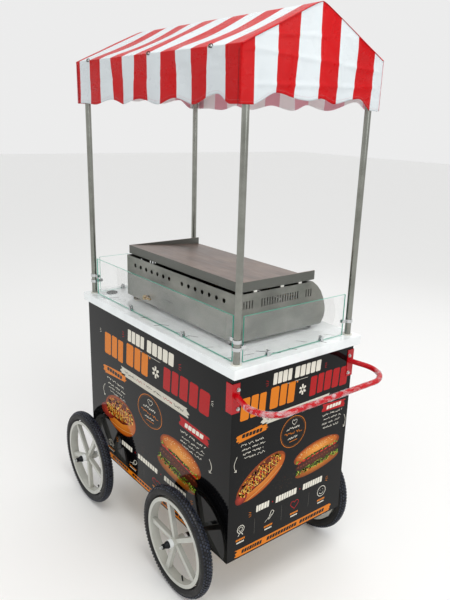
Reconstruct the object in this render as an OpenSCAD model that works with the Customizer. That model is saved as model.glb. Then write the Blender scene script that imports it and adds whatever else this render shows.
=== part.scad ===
// Push vending cart: a boxed cabinet on four spoked wheels, with a gas griddle on its
// worktop, low glass guards, and a striped gable canopy on four round posts.
// +X points to the push handle, -Y to the customer, +Z up. The floor is z = 0.

/* [Worktop] */
// Length of the worktop
top_l = 1270; // [1200:10:1600]
// Width of the worktop
top_w = 710; // [640:10:900]
// Thickness of the worktop
top_t = 40; // [30:1:60]
// Height of the working surface above the floor
top_z = 1160; // [1000:10:1400]
// Outer radius of the cable grommet
grommet_r = 28; // [20:1:40]
// Clear bore radius of the cable grommet
grommet_bore_r = 19; // [12:1:28]

/* [Cabinet] */
// Height of the cabinet bottom above the floor
cab_z = 275; // [268:1:330]
// Overhang of the worktop beyond each end
over_x = 25; // [10:1:60]
// Overhang of the worktop beyond each side
over_y = 13; // [8:1:60]
// Thickness of the cladding panels
panel_t = 3; // [2:0.5:6]
// Outside size of the square frame tube
tube = 30; // [20:1:40]
// Wall of the square frame tube
tube_wall = 2; // [1:0.5:3]
// Thickness of the floor and the shelf
board_t = 12; // [6:1:20]
// Height of the shelf's rails above the cabinet bottom
shelf_up = 335; // [200:5:420]
// Height of the fascia on the operator side
fascia_h = 115; // [80:5:160]
// Thickness of a sliding door
door_t = 6; // [4:0.5:8]
// How far the two doors lap over each other
door_lap = 44; // [20:1:80]

/* [Wheels] */
// Diameter of a wheel over its tyre
wheel_d = 508; // [400:2:520]
// Width of a tyre
tyre_w = 54; // [50:1:60]
// Distance from the centre line to the middle of a tyre
track = 415; // [400:1:500]
// Place of the left axle from the worktop's centre
axle_left_x = -528; // [-600:1:-400]
// Place of the right axle from the worktop's centre
axle_right_x = 341; // [200:1:400]
// Diameter of the axles
axle_d = 14; // [12:1:16]
// Turn of the left wheels' spokes at rest
spoke_turn_left = 57; // [0:1:71]
// Turn of the right wheels' spokes at rest
spoke_turn_right = 35; // [0:1:71]
// Number of spokes
spokes = 5; // [3:1:7]

/* [Posts and glass] */
// Outside diameter of a canopy post
post_d = 27; // [22:1:32]
// Distance from the centre to the posts, along the cart
post_x = 592; // [560:1:760]
// Distance from the centre to the posts, across the cart
post_y = 313; // [280:1:420]
// Height of the glass guards over the worktop
glass_h = 187; // [120:1:220]
// Thickness of the glass
glass_t = 6; // [4:1:8]
// Clear distance from a post's axis to the edge of a pane
glass_gap = 32; // [26:1:50]

/* [Canopy] */
// Height of the eave fold above the floor
eave_z = 2280; // [2100:10:2500]
// Height of the ridge above the eave
roof_rise = 165; // [100:5:300]
// Drop of the valance below the eave
valance = 188; // [120:1:260]
// Gap between a post's outer side and the cover, along the cart
cover_out_x = 6.5; // [5:0.5:12]
// Distance from a post's axis to the cover, across the cart
cover_out_y = 43; // [40:1:80]
// Diameter of the canopy frame tube
rail_d = 22; // [16:1:25]
// Thickness of the cover
cover_t = 2; // [1.5:0.5:3]

/* [Griddle] */
// Length of the griddle casing
grid_l = 880; // [700:10:940]
// Place of the griddle's middle from the worktop's centre
grid_x = 18; // [-20:1:40]
// Place of the casing's customer side
grid_y = -212; // [-240:1:-160]
// Depth of the casing at its top
grid_deep = 425; // [400:5:460]
// Height of the casing without its feet
grid_h = 204; // [180:1:240]
// Height of a foot
foot_h = 20; // [15:1:40]
// Slope of the cooking plate from the customer edge to the operator edge
plate_fall = 33; // [10:1:34]
// Height of the plate's skirt and its end rims
skirt_h = 40; // [36:1:60]
// Sheet thickness of the casing
sheet = 1.5; // [1:0.5:2]
// Length of the grease drawer
drawer_l = 300; // [200:10:400]
// Knob diameter
knob_d = 46; // [36:1:50]

/* [Handle] */
// Reach of the push bar's centre from the cabinet's end
reach = 205; // [185:1:300]
// Diameter of the push bar
bar_d = 23; // [20:1:30]
// Height of the bar where it leaves its brackets
bar_z = 1040; // [1000:5:1060]
// Outward flare of the handle's legs
flare = 16; // [8:1:20]
// Downward tilt of the handle
tilt = 2.6; // [0:0.1:5]
// Bend radius of the bar's corners
bar_bend = 105; // [80:1:130]
// Length of a corner bracket
bracket_h = 125; // [110:1:150]
// Width of a bracket's flanges
bracket_w = 38; // [34:1:45]

/* [Hidden] */
$fn = 64;
// Clearances: a weld or seat gap, a running fit and a sliding fit
gap = 0.3;
run = 0.05;
slide = 1;

// Cabinet outside and the frame inside its panels
cab_l = top_l - 2 * over_x;
cab_w = top_w - 2 * over_y;
cab_top = top_z - top_t;
fr_l = cab_l - 2 * panel_t;
fr_w = cab_w - 2 * panel_t;
shelf_z = cab_z + shelf_up + tube;
floor_z = cab_z + tube;
rail_z = cab_top - fascia_h - tube;

// Wheel
rho = wheel_d / 2;
tyre_r = tyre_w / 2;
casing_wall = 6;
flange_r = rho - tyre_w + 3.4;
seat_r = flange_r - 11.4;
barrel_r = seat_r - 6;
rim_half = 21;
flange_t = 3;
bead_half = rim_half - flange_t - 1.5;
hub_r = 20;
hub_out = 24;
hub_in = 38;
bush_r = 19;
bush_out = 18;
bush_in = 14;
spoke_t = 20;
valve_r = 3.2;
axle_r = axle_d / 2;
cone_l = 20;
nut_t = 11;
stud = 12;
axle_half = track + hub_out + bush_out + gap + cone_l + nut_t + stud;
bracket_y = fr_w / 2 - tube / 2;
ear_t = 8;

// The whole cart is centred on the floor between its lowest left and right ends
bar_x = cab_l / 2 + reach;
shift_x = ((rho - axle_left_x) - (bar_x + bar_d / 2)) / 2;

// Posts, glass and canopy
post_r = post_d / 2;
glass_lift = 3;
cover_x = post_x + post_r + cover_out_x;
cover_y = post_y + cover_out_y;
slope = atan(roof_rise / cover_y);
rail_r = rail_d / 2;
rafter_r = rail_r - 2;
tee_wall = 3;
rail_y = cover_y - cover_t - 0.5 - rail_r;
tube_drop = (rail_r + cover_t + 0.5) / cos(slope);
eave_rail_z = eave_z + (cover_y - rail_y) * tan(slope) - tube_drop;
ridge_z = eave_z + roof_rise - tube_drop;
clip_x = 220;
clip_y = 150;
clamp_front_z = top_z + 95;
clamp_end_z = top_z + 65;

// Griddle
case_z = top_z + foot_h;
case_top = case_z + grid_h;
stand_h = 8;
plate_t = 6;
belly = 84;
belly_pts = [[0, 0], [32, -24], [56, -51], [78, -92], [88, -126], [90, -150], [86, -176], [68, -204]];
knob_z = case_top - 122;
drawer_h = 36;
drawer_deep = 330;

// Handle: corner arc that joins the flared leg to the straight bar
arc_x = bar_x - bar_bend;
face_x = cab_l / 2 + panel_t;
leg_y = cab_w / 2 - bracket_w / 2;
leg_l = (arc_x - bar_bend * sin(flare) - face_x) / cos(flare);
arc_y = leg_y + leg_l * sin(flare) - bar_bend * cos(flare);

module at_cart() translate([shift_x, 0, 0]) children();
module both_sides() { children(); mirror([0, 1, 0]) children(); }
module both_ends() { children(); mirror([1, 0, 0]) children(); }
// A box from its lowest corner to its highest corner
module span(a, b) translate(a) cube(b - a);
// A rod along Y, centred at the origin
module rod_y(r, l) rotate([90, 0, 0]) cylinder(r = r, h = l, center = true);
// A rod along X, centred at the origin
module rod_x(r, l) rotate([0, 90, 0]) cylinder(r = r, h = l, center = true);

// ---- Wheels ----
// Turns a shape drawn at a wheel's centre, outboard towards -Y, to its corner of the cart
module at_wheel(side, end) {
    at_cart()
    translate([end < 0 ? axle_left_x : axle_right_x, side * track, rho])
    mirror([0, side > 0 ? 1 : 0, 0])
    rotate([0, -(end < 0 ? spoke_turn_left : spoke_turn_right), 0]) children();
}

// Turns a half section about the wheel's axle
module about_axle() rotate([90, 0, 0]) rotate_extrude($fn = 96) children();

// Tyre with its inner tube as one wall round the air
module tyre() {
    crown = rho - tyre_r;
    about_axle() difference() {
        union() {
            translate([crown, 0]) circle(r = tyre_r);
            translate([seat_r + gap, -bead_half]) square([flange_r - seat_r + 6, 2 * bead_half]);
        }
        translate([crown, 0]) circle(r = tyre_r - casing_wall);
        translate([seat_r - 1, -bead_half + casing_wall]) square([22, 2 * (bead_half - casing_wall)]);
    }
    // Valve stem, half way between two spokes
    rotate([0, 180 / spokes + 72, 0]) translate([barrel_r - 24, 0, 0]) rotate([0, 90, 0]) {
        cylinder(r = valve_r, h = 24 + seat_r - barrel_r + 6);
        cylinder(r = valve_r + 1, h = 16);
    }
}

module rim() {
    hole = axle_r + 8;
    difference() {
        union() {
            about_axle() polygon([
                [barrel_r, -rim_half], [flange_r, -rim_half], [flange_r, -rim_half + flange_t],
                [seat_r, -rim_half + flange_t], [seat_r, -9], [seat_r - 3, -6],
                [seat_r - 3, 6], [seat_r, 9], [seat_r, rim_half - flange_t],
                [flange_r, rim_half - flange_t], [flange_r, rim_half], [barrel_r, rim_half]]);
            for (i = [0:spokes - 1]) rotate([90, i * 360 / spokes, 0])
                linear_extrude(height = spoke_t, center = true)
                polygon([[hub_r - 3, -9], [barrel_r + 1, -12], [barrel_r + 1, 12], [hub_r - 3, 9]]);
            translate([0, (hub_in - hub_out) / 2, 0]) rod_y(hub_r, hub_out + hub_in);
        }
        rod_y(hole, 4 * hub_in);
        rotate([0, 180 / spokes + 72, 0]) translate([barrel_r - 10, 0, 0]) rotate([0, 90, 0])
            cylinder(r = valve_r + gap, h = 30);
    }
}

// Two white cartridges, each with a spigot inside the hub
module bearings() {
    hole = axle_r + 8;
    difference() {
        union() {
            translate([0, -hub_out - bush_out / 2, 0]) rod_y(bush_r, bush_out);
            translate([0, -hub_out + 9, 0]) rod_y(hole - run, 18);
            translate([0, hub_in + bush_in / 2, 0]) rod_y(bush_r - 2, bush_in);
            translate([0, hub_in - 9, 0]) rod_y(hole - run, 18);
        }
        rod_y(axle_r + run, 6 * hub_in);
    }
}

module axle(x) at_cart() translate([x, 0, rho]) rod_y(axle_r, 2 * axle_half);

// Inboard spacers, outboard dust cones and axle nuts
module axle_hardware() color("#26282a") at_cart() both_sides() for (x = [axle_left_x, axle_right_x])
    translate([x, 0, rho]) difference() {
        cone_y = -track - hub_out - bush_out - gap;
        inner_y = -track + hub_in + bush_in + gap;
        union() {
            translate([0, cone_y, 0]) rotate([90, 0, 0])
                rotate_extrude() polygon([[0, 0], [17, 0], [17, 4], [11, cone_l], [0, cone_l]]);
            translate([0, cone_y - cone_l - gap, 0]) rotate([90, 0, 0]) cylinder(r = 12, h = nut_t, $fn = 6);
            span([-11, inner_y, -11], [11, -bracket_y - ear_t / 2 - gap, 11]);
        }
        rod_y(axle_r + run, 3 * axle_half);
    }

module axle_brackets() color("#303234") at_cart() both_sides() for (x = [axle_left_x, axle_right_x])
    translate([x, -bracket_y, 0]) difference() {
        union() {
            span([-40, -tube / 2, cab_z - 5], [40, tube / 2, cab_z]);
            span([-24, -ear_t / 2, rho - 22], [24, ear_t / 2, cab_z - 4]);
        }
        translate([0, 0, rho]) rod_y(axle_r + run, 3 * tube);
    }

// ---- Cabinet ----
// Square tube along one axis, from one end to the other
module tube_x(x0, x1, y, z) difference() {
    span([x0, y, z], [x1, y + tube, z + tube]);
    span([x0 - 1, y + tube_wall, z + tube_wall], [x1 + 1, y + tube - tube_wall, z + tube - tube_wall]);
}
module tube_y(y0, y1, x, z) difference() {
    span([x, y0, z], [x + tube, y1, z + tube]);
    span([x + tube_wall, y0 - 1, z + tube_wall], [x + tube - tube_wall, y1 + 1, z + tube - tube_wall]);
}
module tube_z(z0, z1, x, y) difference() {
    span([x, y, z0], [x + tube, y + tube, z1]);
    span([x + tube_wall, y + tube_wall, z0 - 1], [x + tube - tube_wall, y + tube - tube_wall, z1 + 1]);
}

module chassis_frame() color("#6f7274") at_cart() {
    hx = fr_l / 2;
    hy = fr_w / 2;
    for (z = [cab_z, cab_top - tube]) {
        for (y = [-hy, hy - tube]) tube_x(-hx, hx, y, z);
        for (x = [-hx, -tube / 2, hx - tube]) tube_y(-hy + tube + gap, hy - tube - gap, x, z);
    }
    for (x = [-hx, hx - tube], y = [-hy, hy - tube]) tube_z(cab_z + tube + gap, cab_top - tube - gap, x, y);
    // Shelf rails at the ends and along the customer side, and the rail over the doors
    for (x = [-hx, hx - tube])
        tube_y(-hy + tube + gap, hy - tube - gap, x, shelf_z - tube);
    tube_x(-hx + tube + gap, hx - tube - gap, -hy, shelf_z - tube);
    tube_x(-hx + tube + gap, hx - tube - gap, hy - tube, rail_z);
}

module board(z) {
    hx = fr_l / 2 - gap;
    hy = fr_w / 2 - tube - gap;
    at_cart() span([-hx, -hy, z], [hx, hy, z + board_t]);
}
module cabinet_floor() color("#b9a27c") board(floor_z);
module shelf() color("#b9a27c") board(shelf_z);

module front_panel() color("#202123") at_cart()
    span([-cab_l / 2, -cab_w / 2, cab_z], [cab_l / 2, -fr_w / 2, cab_top]);
module end_panel() span([fr_l / 2, -fr_w / 2 + gap, cab_z], [cab_l / 2, cab_w / 2, cab_top]);
module left_panel() color("#202123") at_cart() mirror([1, 0, 0]) end_panel();
module right_panel() color("#202123") at_cart() end_panel();
module rear_fascia() color("#202123") at_cart()
    span([-fr_l / 2 + gap, fr_w / 2, rail_z], [fr_l / 2 - gap, cab_w / 2, cab_top]);

// Sliding doors run in two channels between the bottom rail and the rail over the doors
door_w = fr_l / 2 - tube + door_lap / 2 - 3;
door_y_out = fr_w / 2 - 12;
door_y_in = fr_w / 2 - 24;
door_z0 = floor_z + 4;
door_z1 = rail_z - 6;
track_wall = 2;
module channel(z0, z1, web_z0, web_z1) {
    hx = fr_l / 2 - tube - gap;
    y0 = door_y_in - 1 - track_wall;
    y1 = door_y_out + door_t + 1 + track_wall;
    difference() {
        span([-hx, y0, z0], [hx, y1, z1]);
        for (y = [door_y_in, door_y_out])
            span([-hx - 1, y - 1, web_z0], [hx + 1, y + door_t + 1, web_z1]);
    }
}
module door_tracks() color("#a9abac") at_cart() {
    channel(floor_z, floor_z + 14, floor_z + 3.7, floor_z + 20);
    channel(rail_z - 16, rail_z, rail_z - 20, rail_z - 5);
}
module pull_hole(x, y) translate([x, y, (door_z0 + door_z1) / 2 + 60]) rotate([-90, 0, 0])
    translate([0, 0, -1]) cylinder(r = 18, h = door_t + 2);
module door(x0, y) difference() {
    span([x0, y, door_z0], [x0 + door_w, y + door_t, door_z1]);
    pull_hole(x0 < -door_w / 2 ? x0 + 45 : x0 + door_w - 45, y);
}
door_left_x = -fr_l / 2 + tube + 3;
door_right_x = fr_l / 2 - tube - 3 - door_w;
module door_left() color("#2b2d2f") at_cart() door(door_left_x, door_y_out);
module door_right() color("#2b2d2f") at_cart() door(door_right_x, door_y_in);
// A flush finger cup through the door
module pull(x, y) translate([x, y, (door_z0 + door_z1) / 2 + 60]) rotate([-90, 0, 0]) difference() {
    union() {
        cylinder(r = 18 - gap, h = door_t + 1);
        translate([0, 0, door_t]) cylinder(r = 23, h = 2);
    }
    translate([0, 0, 1.5]) cylinder(r = 15, h = door_t + 2);
}
module pull_left() color("#c9cbcc") at_cart() pull(door_left_x + 45, door_y_out);
module pull_right() color("#c9cbcc") at_cart() pull(door_right_x + door_w - 45, door_y_in);

// ---- Counter ----
grommet_x = -542;
grommet_y = -240;
sleeve_r = grommet_bore_r + 3;
module worktop() color("white") at_cart() difference() {
    span([-top_l / 2, -top_w / 2, cab_top], [top_l / 2, top_w / 2, top_z]);
    for (x = [-post_x, post_x], y = [-post_y, post_y])
        translate([x, y, cab_top - 1]) cylinder(r = post_r + gap, h = top_t + 2);
    translate([grommet_x, grommet_y, cab_top - 1]) cylinder(r = sleeve_r + gap, h = top_t + 2);
}
module cable_grommet() color("#1c1d1e") at_cart() translate([grommet_x, grommet_y, top_z]) difference() {
    union() {
        cylinder(r = grommet_r, h = 5);
        translate([0, 0, -top_t + 2]) cylinder(r = sleeve_r, h = top_t);
    }
    translate([0, 0, -top_t]) cylinder(r = grommet_bore_r, h = top_t + 8);
}

pane_z0 = top_z + glass_lift;
pane_z1 = top_z + glass_h;
end_pane_x = post_x - 4;
front_pane_y = post_y - 4;
module glass_front() color("#cfe9df", 0.35) at_cart()
    span([-post_x + glass_gap, -front_pane_y - glass_t / 2, pane_z0],
         [post_x - glass_gap, -front_pane_y + glass_t / 2, pane_z1]);
module end_pane() span([end_pane_x - glass_t / 2, -post_y + glass_gap, pane_z0],
                       [end_pane_x + glass_t / 2, post_y - glass_gap, pane_z1]);
module glass_left() color("#cfe9df", 0.35) at_cart() mirror([1, 0, 0]) end_pane();
module glass_right() color("#cfe9df", 0.35) at_cart() end_pane();

// A clip that stands on the worktop and holds the foot of a pane that lies along X
module clip() difference() {
    union() {
        span([-11, -8, 0], [11, 8, 5]);
        rotate([90, 0, 0]) linear_extrude(height = 16, center = true)
            polygon([[-9, 4], [9, 4], [5, 24], [-5, 24]]);
    }
    span([-20, -glass_t / 2 - gap, glass_lift - gap], [20, glass_t / 2 + gap, 40]);
}
module glass_clips() color("#c4c7c8") at_cart() {
    for (x = [-clip_x, clip_x]) translate([x, -front_pane_y, top_z]) clip();
    both_ends() for (y = [-clip_y, clip_y]) translate([end_pane_x, y, top_z]) rotate([0, 0, 90]) clip();
}
// A ring round a post, with a forked ear along +X that holds a pane's edge
module clamp(side) difference() {
    union() {
        cylinder(r = post_r + 4, h = 14, center = true);
        span([post_r, side - 7, -7], [glass_gap + 10, side + 7, 7]);
    }
    cylinder(r = post_r + run, h = 30, center = true);
    span([glass_gap - gap, side - glass_t / 2 - gap, -20], [glass_gap + 40, side + glass_t / 2 + gap, 20]);
}
module post_clamps() color("#c4c7c8") at_cart() {
    both_ends() translate([-post_x, -post_y, clamp_front_z]) clamp(post_y - front_pane_y);
    both_ends() {
        translate([-post_x, -post_y, clamp_end_z]) rotate([0, 0, 90]) clamp(end_pane_x - post_x);
        translate([-post_x, post_y, clamp_end_z]) rotate([0, 0, -90]) clamp(post_x - end_pane_x);
    }
}

// ---- Posts and canopy ----
post_wall = 1.5;
module post(sx, sy) color("#b4b6b4") at_cart() translate([sx * post_x, sy * post_y, cab_top]) difference() {
    h = eave_rail_z - rail_r - gap - cab_top;
    cylinder(r = post_r, h = h);
    translate([0, 0, -1]) cylinder(r = post_r - post_wall, h = h + 2);
}
module post_collars() color("#d9dad8") at_cart() both_ends() both_sides()
    translate([post_x, post_y, top_z]) difference() {
        cylinder(r = post_r + 7, h = 4);
        translate([0, 0, -1]) cylinder(r = post_r + run, h = 8);
    }

module canopy_frame() color("#b4b6b4") at_cart() {
    half = post_x - rail_r - gap;
    both_sides() translate([0, rail_y, eave_rail_z]) rod_x(rail_r, 2 * half);
    both_ends() translate([post_x, 0, eave_rail_z]) rod_y(rail_r, 2 * (rail_y + 2));
    translate([0, 0, ridge_z]) rod_x(rail_r, 2 * (post_x + rail_r));
    // Rafters: the middle pair starts at the eave rails, the others clear of the tees
    rise = ridge_z - eave_rail_z;
    pitch = atan(rise / rail_y);
    run_l = sqrt(rise * rise + rail_y * rail_y) - rail_r - gap;
    over_tee = (rail_r + tee_wall + gap + rafter_r * cos(pitch)) / sin(pitch);
    both_sides() for (x = [-post_x, 0, post_x]) {
        start = x == 0 ? rail_r + gap : over_tee;
        translate([x, rail_y, eave_rail_z]) rotate([90 - pitch, 0, 0])
            translate([0, 0, start]) cylinder(r = rafter_r, h = run_l - start);
    }
}
module canopy_tees() color("#8f9290") at_cart() both_ends() both_sides()
    translate([post_x, post_y, eave_rail_z]) difference() {
        union() {
            rod_y(rail_r + tee_wall, 2 * post_r + 7);
            translate([0, 0, -42]) cylinder(r = post_r + tee_wall, h = 42);
        }
        rod_y(rail_r + run, 200);
        translate([0, 0, -80]) cylinder(r = post_r + run, h = 80);
    }

// A gable prism with vertical walls, from the valance's hem to the ridge
module gable(inset, low, span_x) rotate([90, 0, 90]) linear_extrude(height = span_x, center = true)
    polygon([[-cover_y + inset, low], [cover_y - inset, low],
             [cover_y - inset, eave_z - inset * (1 / cos(slope) - tan(slope))],
             [0, eave_z + roof_rise - inset / cos(slope)],
             [-cover_y + inset, eave_z - inset * (1 / cos(slope) - tan(slope))]]);
module canopy_cover() color("#d62430") at_cart() difference() {
    gable(0, eave_z - valance, 2 * cover_x);
    gable(cover_t, eave_z - valance - 1, 2 * (cover_x - cover_t));
}

// ---- Griddle ----
// Side profile of the casing, measured from the customer side and the casing's bottom
module side_profile() polygon(concat([[0, 0], [0, grid_h]],
    [for (p = belly_pts) [grid_deep + p[0], grid_h + p[1] * grid_h / 204]]));
module along_x(l) rotate([90, 0, 90]) linear_extrude(height = l, center = true) children();
module at_griddle() at_cart() translate([grid_x, grid_y, case_z]) children();

hole_z = grid_h - 40;
slot_z = grid_h - 48;
slot_h = 34;
module slots(y0, n) for (i = [0:n - 1])
    span([-grid_l, y0 + i * 14.5 - 2.5, slot_z - slot_h / 2], [grid_l, y0 + i * 14.5 + 2.5, slot_z + slot_h / 2]);
module griddle_casing() color("#a8aaa9") at_griddle() difference() {
    along_x(grid_l) side_profile();
    // The inside, open at the top and, between the ends, on the operator side
    along_x(grid_l - 2 * sheet) polygon([[sheet, sheet], [sheet, grid_h + 1],
        [grid_deep + belly + 20, grid_h + 1], [grid_deep + belly + 20, sheet]]);
    // Two rows of vent holes in the back
    for (s = [-1, 1], i = [0:6]) translate([s * 52 + s * i * 51, 0, hole_z]) rod_y(10, 10);
    slots(38, 4);
    slots(134, 15);
    slots(388, 3);
    // Inlet hole
    translate([inlet_x, 0, inlet_z]) rod_y(12, 10);
}
inlet_x = -grid_l / 2 + 200;
inlet_z = 32;

panel_l = grid_l - 2 * sheet - 2 * gap;
drawer_z = 6;
module griddle_panel() color("#b2b4b3") at_griddle() difference() {
    n = len(belly_pts) - 1;
    outer = [for (p = belly_pts) [grid_deep + p[0], grid_h + p[1] * grid_h / 204]];
    inner = [for (i = [n:-1:0]) [outer[i][0] - (i == 0 ? 0 : sheet + 0.5), outer[i][1] - (i < 4 ? 2 : 0)]];
    along_x(panel_l) difference() {
        polygon(concat([[grid_deep - 22, grid_h], outer[0]], [for (i = [1:n]) outer[i]],
            [for (i = [n:-1:1]) inner[n - i]], [[grid_deep - 1, grid_h - 2], [grid_deep - 22, grid_h - 2]]));
        translate([0, -1]) square([grid_deep + 200, 1 + sheet + gap]);
    }
    for (k = [-1, 0, 1]) translate([k * grid_l / 3.4, grid_deep + 80, knob_z - case_z]) rod_y(7, 60);
    span([-drawer_l / 2 - slide, grid_deep, -1], [drawer_l / 2 + slide, grid_deep + 200, drawer_z + drawer_h + slide]);
}

// Sloping plate with a folded skirt and level end rims
plate_l = grid_l - 4;
plate_y0 = 12;
plate_y1 = grid_deep + 9;
module griddle_plate() color("#8d8884") at_griddle() translate([0, 0, grid_h + stand_h]) {
    lip = skirt_h - plate_fall;
    along_x(plate_l - 2 * plate_t + 0.02)
        polygon([[plate_y0 + plate_t - 0.01, skirt_h], [plate_y1, lip], [plate_y1, lip - plate_t],
                 [plate_y0 + plate_t - 0.01, skirt_h - plate_t]]);
    span([-plate_l / 2, plate_y0, 0], [plate_l / 2, plate_y0 + plate_t, skirt_h]);
    both_ends() span([plate_l / 2 - plate_t, plate_y0, 0], [plate_l / 2, plate_y1, skirt_h]);
}
module plate_stands() color("#e6e6e2") at_griddle() translate([0, 0, grid_h]) both_ends()
    for (y = [98, 246, 350]) span([grid_l / 2 - 8, y - 9, 0], [grid_l / 2 - 2, y + 9, stand_h]);
module griddle_feet() color("#202020") at_griddle() both_ends() for (y = [26, grid_deep + 30])
    translate([grid_l / 2 - 45, y, -foot_h]) cylinder(r1 = 17, r2 = 15, h = foot_h);

burner_r = 14;
burner_z = grid_h - 45;
module griddle_burners() color("#77706a") at_griddle() {
    for (k = [-1, 0, 1]) translate([k * grid_l / 3.4, 40 + 150, burner_z]) difference() {
        rod_y(burner_r, 300);
        rod_y(burner_r - 2, 296);
    }
    // Rails that carry the burners from end to end of the casing
    for (y = [70, 310]) span([-grid_l / 2 + sheet, y - 10, burner_z - burner_r - gap - 3],
                             [grid_l / 2 - sheet, y + 10, burner_z - burner_r - gap]);
}
pipe_r = 8;
pipe_y = grid_deep + 40;
module gas_manifold() color("#b9a15a") at_griddle() {
    kz = knob_z - case_z;
    // Manifold pipe and a valve body with a stub for each burner
    translate([0, pipe_y, kz]) rod_x(pipe_r, grid_l - 60);
    for (k = [-1, 0, 1]) translate([k * grid_l / 3.4, 0, kz]) {
        translate([0, pipe_y + 14, 0]) rod_y(11, 22);
        translate([0, pipe_y + 40, 0]) rod_y(4, 40);
    }
    // Feed from the inlet at the back to the manifold, with its elbow
    translate([inlet_x, pipe_y / 2 - 8, inlet_z]) rod_y(pipe_r - 1, pipe_y + 16);
    translate([inlet_x, pipe_y, inlet_z - 7]) cylinder(r = pipe_r - 1, h = kz - inlet_z + 7);
    translate([inlet_x, -16, inlet_z]) rod_y(11, 18);
    translate([inlet_x, -16, inlet_z]) rod_x(9, 24);
    translate([inlet_x + 12, -16, inlet_z]) rotate([0, 90, 0]) cylinder(r = 6, h = 34);
}
module knob(k) color("#1b1b1c") at_griddle() {
    face_y = grid_deep + 90 + gap;
    translate([k * grid_l / 3.4, face_y, knob_z - case_z]) rotate([-90, 0, 0]) difference() {
        union() {
            cylinder(r = knob_d / 2, h = 8);
            translate([0, 0, 7]) cylinder(r1 = knob_d / 2 - 4, r2 = knob_d / 2 - 7, h = 10);
            span([-5, -knob_d / 2 + 2, 6], [5, knob_d / 2 - 2, 22]);
        }
        translate([0, 0, -1]) cylinder(r = 4 + run, h = 13);
    }
}
drawer_y1 = grid_deep + 84;
module grease_drawer() color("#b2b4b3") at_griddle() {
    w = drawer_l / 2;
    difference() {
        span([-w + 5, drawer_y1 - drawer_deep, drawer_z], [w - 5, drawer_y1, drawer_z + drawer_h - 4]);
        span([-w + 6.5, drawer_y1 - drawer_deep + sheet, drawer_z + sheet],
             [w - 6.5, drawer_y1 - sheet, drawer_z + drawer_h]);
    }
    span([-w + 1, drawer_y1 - 0.01, drawer_z - 2], [w - 1, drawer_y1 + 2, drawer_z + drawer_h]);
    span([-w + 60, drawer_y1 + 1, drawer_z + drawer_h - 8], [w - 60, drawer_y1 + 16, drawer_z + drawer_h - 6]);
}
module drawer_runners() color("#9a9c9b") at_griddle() both_ends() {
    w = drawer_l / 2;
    difference() {
        span([w - 14, 160, sheet + gap], [w, grid_deep + 50, drawer_z + 16]);
        span([w - 20, 150, drawer_z - gap], [w - 5 + gap, grid_deep + 60, drawer_z + 30]);
    }
}

// ---- Push handle ----
module handle_half() translate([arc_x, arc_y, 0]) {
    rotate_extrude(angle = 90 + flare) translate([bar_bend, 0]) circle(r = bar_d / 2);
    // The leg starts just inside the bend's end, a hair thinner
    rotate([0, 0, 90 + flare]) translate([bar_bend, -1, 0])
        rotate([-90, 0, 0]) cylinder(r = bar_d / 2 - run, h = leg_l + 13);
}
module handle_bar() color("#d3202a") at_cart() difference() {
    translate([face_x, 0, bar_z]) rotate([0, tilt, 0]) translate([-face_x, 0, 0]) {
        both_sides() handle_half();
        translate([bar_x, 0, 0]) rod_y(bar_d / 2, 2 * arc_y);
    }
    span([face_x - 60, -cab_w, bar_z - 100], [face_x, cab_w, bar_z + 100]);
}
bracket_z = bar_z - bracket_h / 2 - 10;
module handle_brackets() color("#c81d27") at_cart() both_sides() difference() {
    span([face_x - bracket_w, cab_w / 2 + panel_t - bracket_w, bracket_z],
         [face_x, cab_w / 2 + panel_t, bracket_z + bracket_h]);
    span([0, 0, 0], [cab_l / 2, cab_w / 2, top_z]);
    for (z = bolt_zs) translate([face_x, bolt_y, z]) rod_x(4 + gap, 20);
}
bolt_y = cab_w / 2 - 26;
bolt_zs = [bar_z - 55, bar_z + 26];
module handle_bolts() color("#b9bbbc") at_cart() both_sides() for (z = bolt_zs) translate([face_x, bolt_y, z])
    rotate([0, 90, 0]) {
        cylinder(r = 8, h = 1.5);
        translate([0, 0, 1]) cylinder(r = 6.5, h = 5.5, $fn = 6);
        translate([0, 0, -2.9]) cylinder(r = 4, h = 4);
    }

// ---- One module for each repeated sub-part ----
module tyre_front_left() color("#232426") at_wheel(-1, -1) tyre();
module tyre_front_right() color("#232426") at_wheel(-1, 1) tyre();
module tyre_rear_left() color("#232426") at_wheel(1, -1) tyre();
module tyre_rear_right() color("#232426") at_wheel(1, 1) tyre();
module rim_front_left() color("#c9cbc8") at_wheel(-1, -1) rim();
module rim_front_right() color("#c9cbc8") at_wheel(-1, 1) rim();
module rim_rear_left() color("#c9cbc8") at_wheel(1, -1) rim();
module rim_rear_right() color("#c9cbc8") at_wheel(1, 1) rim();
module bearings_front_left() color("#eceeed") at_wheel(-1, -1) bearings();
module bearings_front_right() color("#eceeed") at_wheel(-1, 1) bearings();
module bearings_rear_left() color("#eceeed") at_wheel(1, -1) bearings();
module bearings_rear_right() color("#eceeed") at_wheel(1, 1) bearings();
module axle_left() color("#8b8d8e") axle(axle_left_x);
module axle_right() color("#8b8d8e") axle(axle_right_x);
module post_front_left() post(-1, -1);
module post_front_right() post(1, -1);
module post_rear_left() post(-1, 1);
module post_rear_right() post(1, 1);
module knob_left() knob(-1);
module knob_middle() knob(0);
module knob_right() knob(1);

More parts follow.
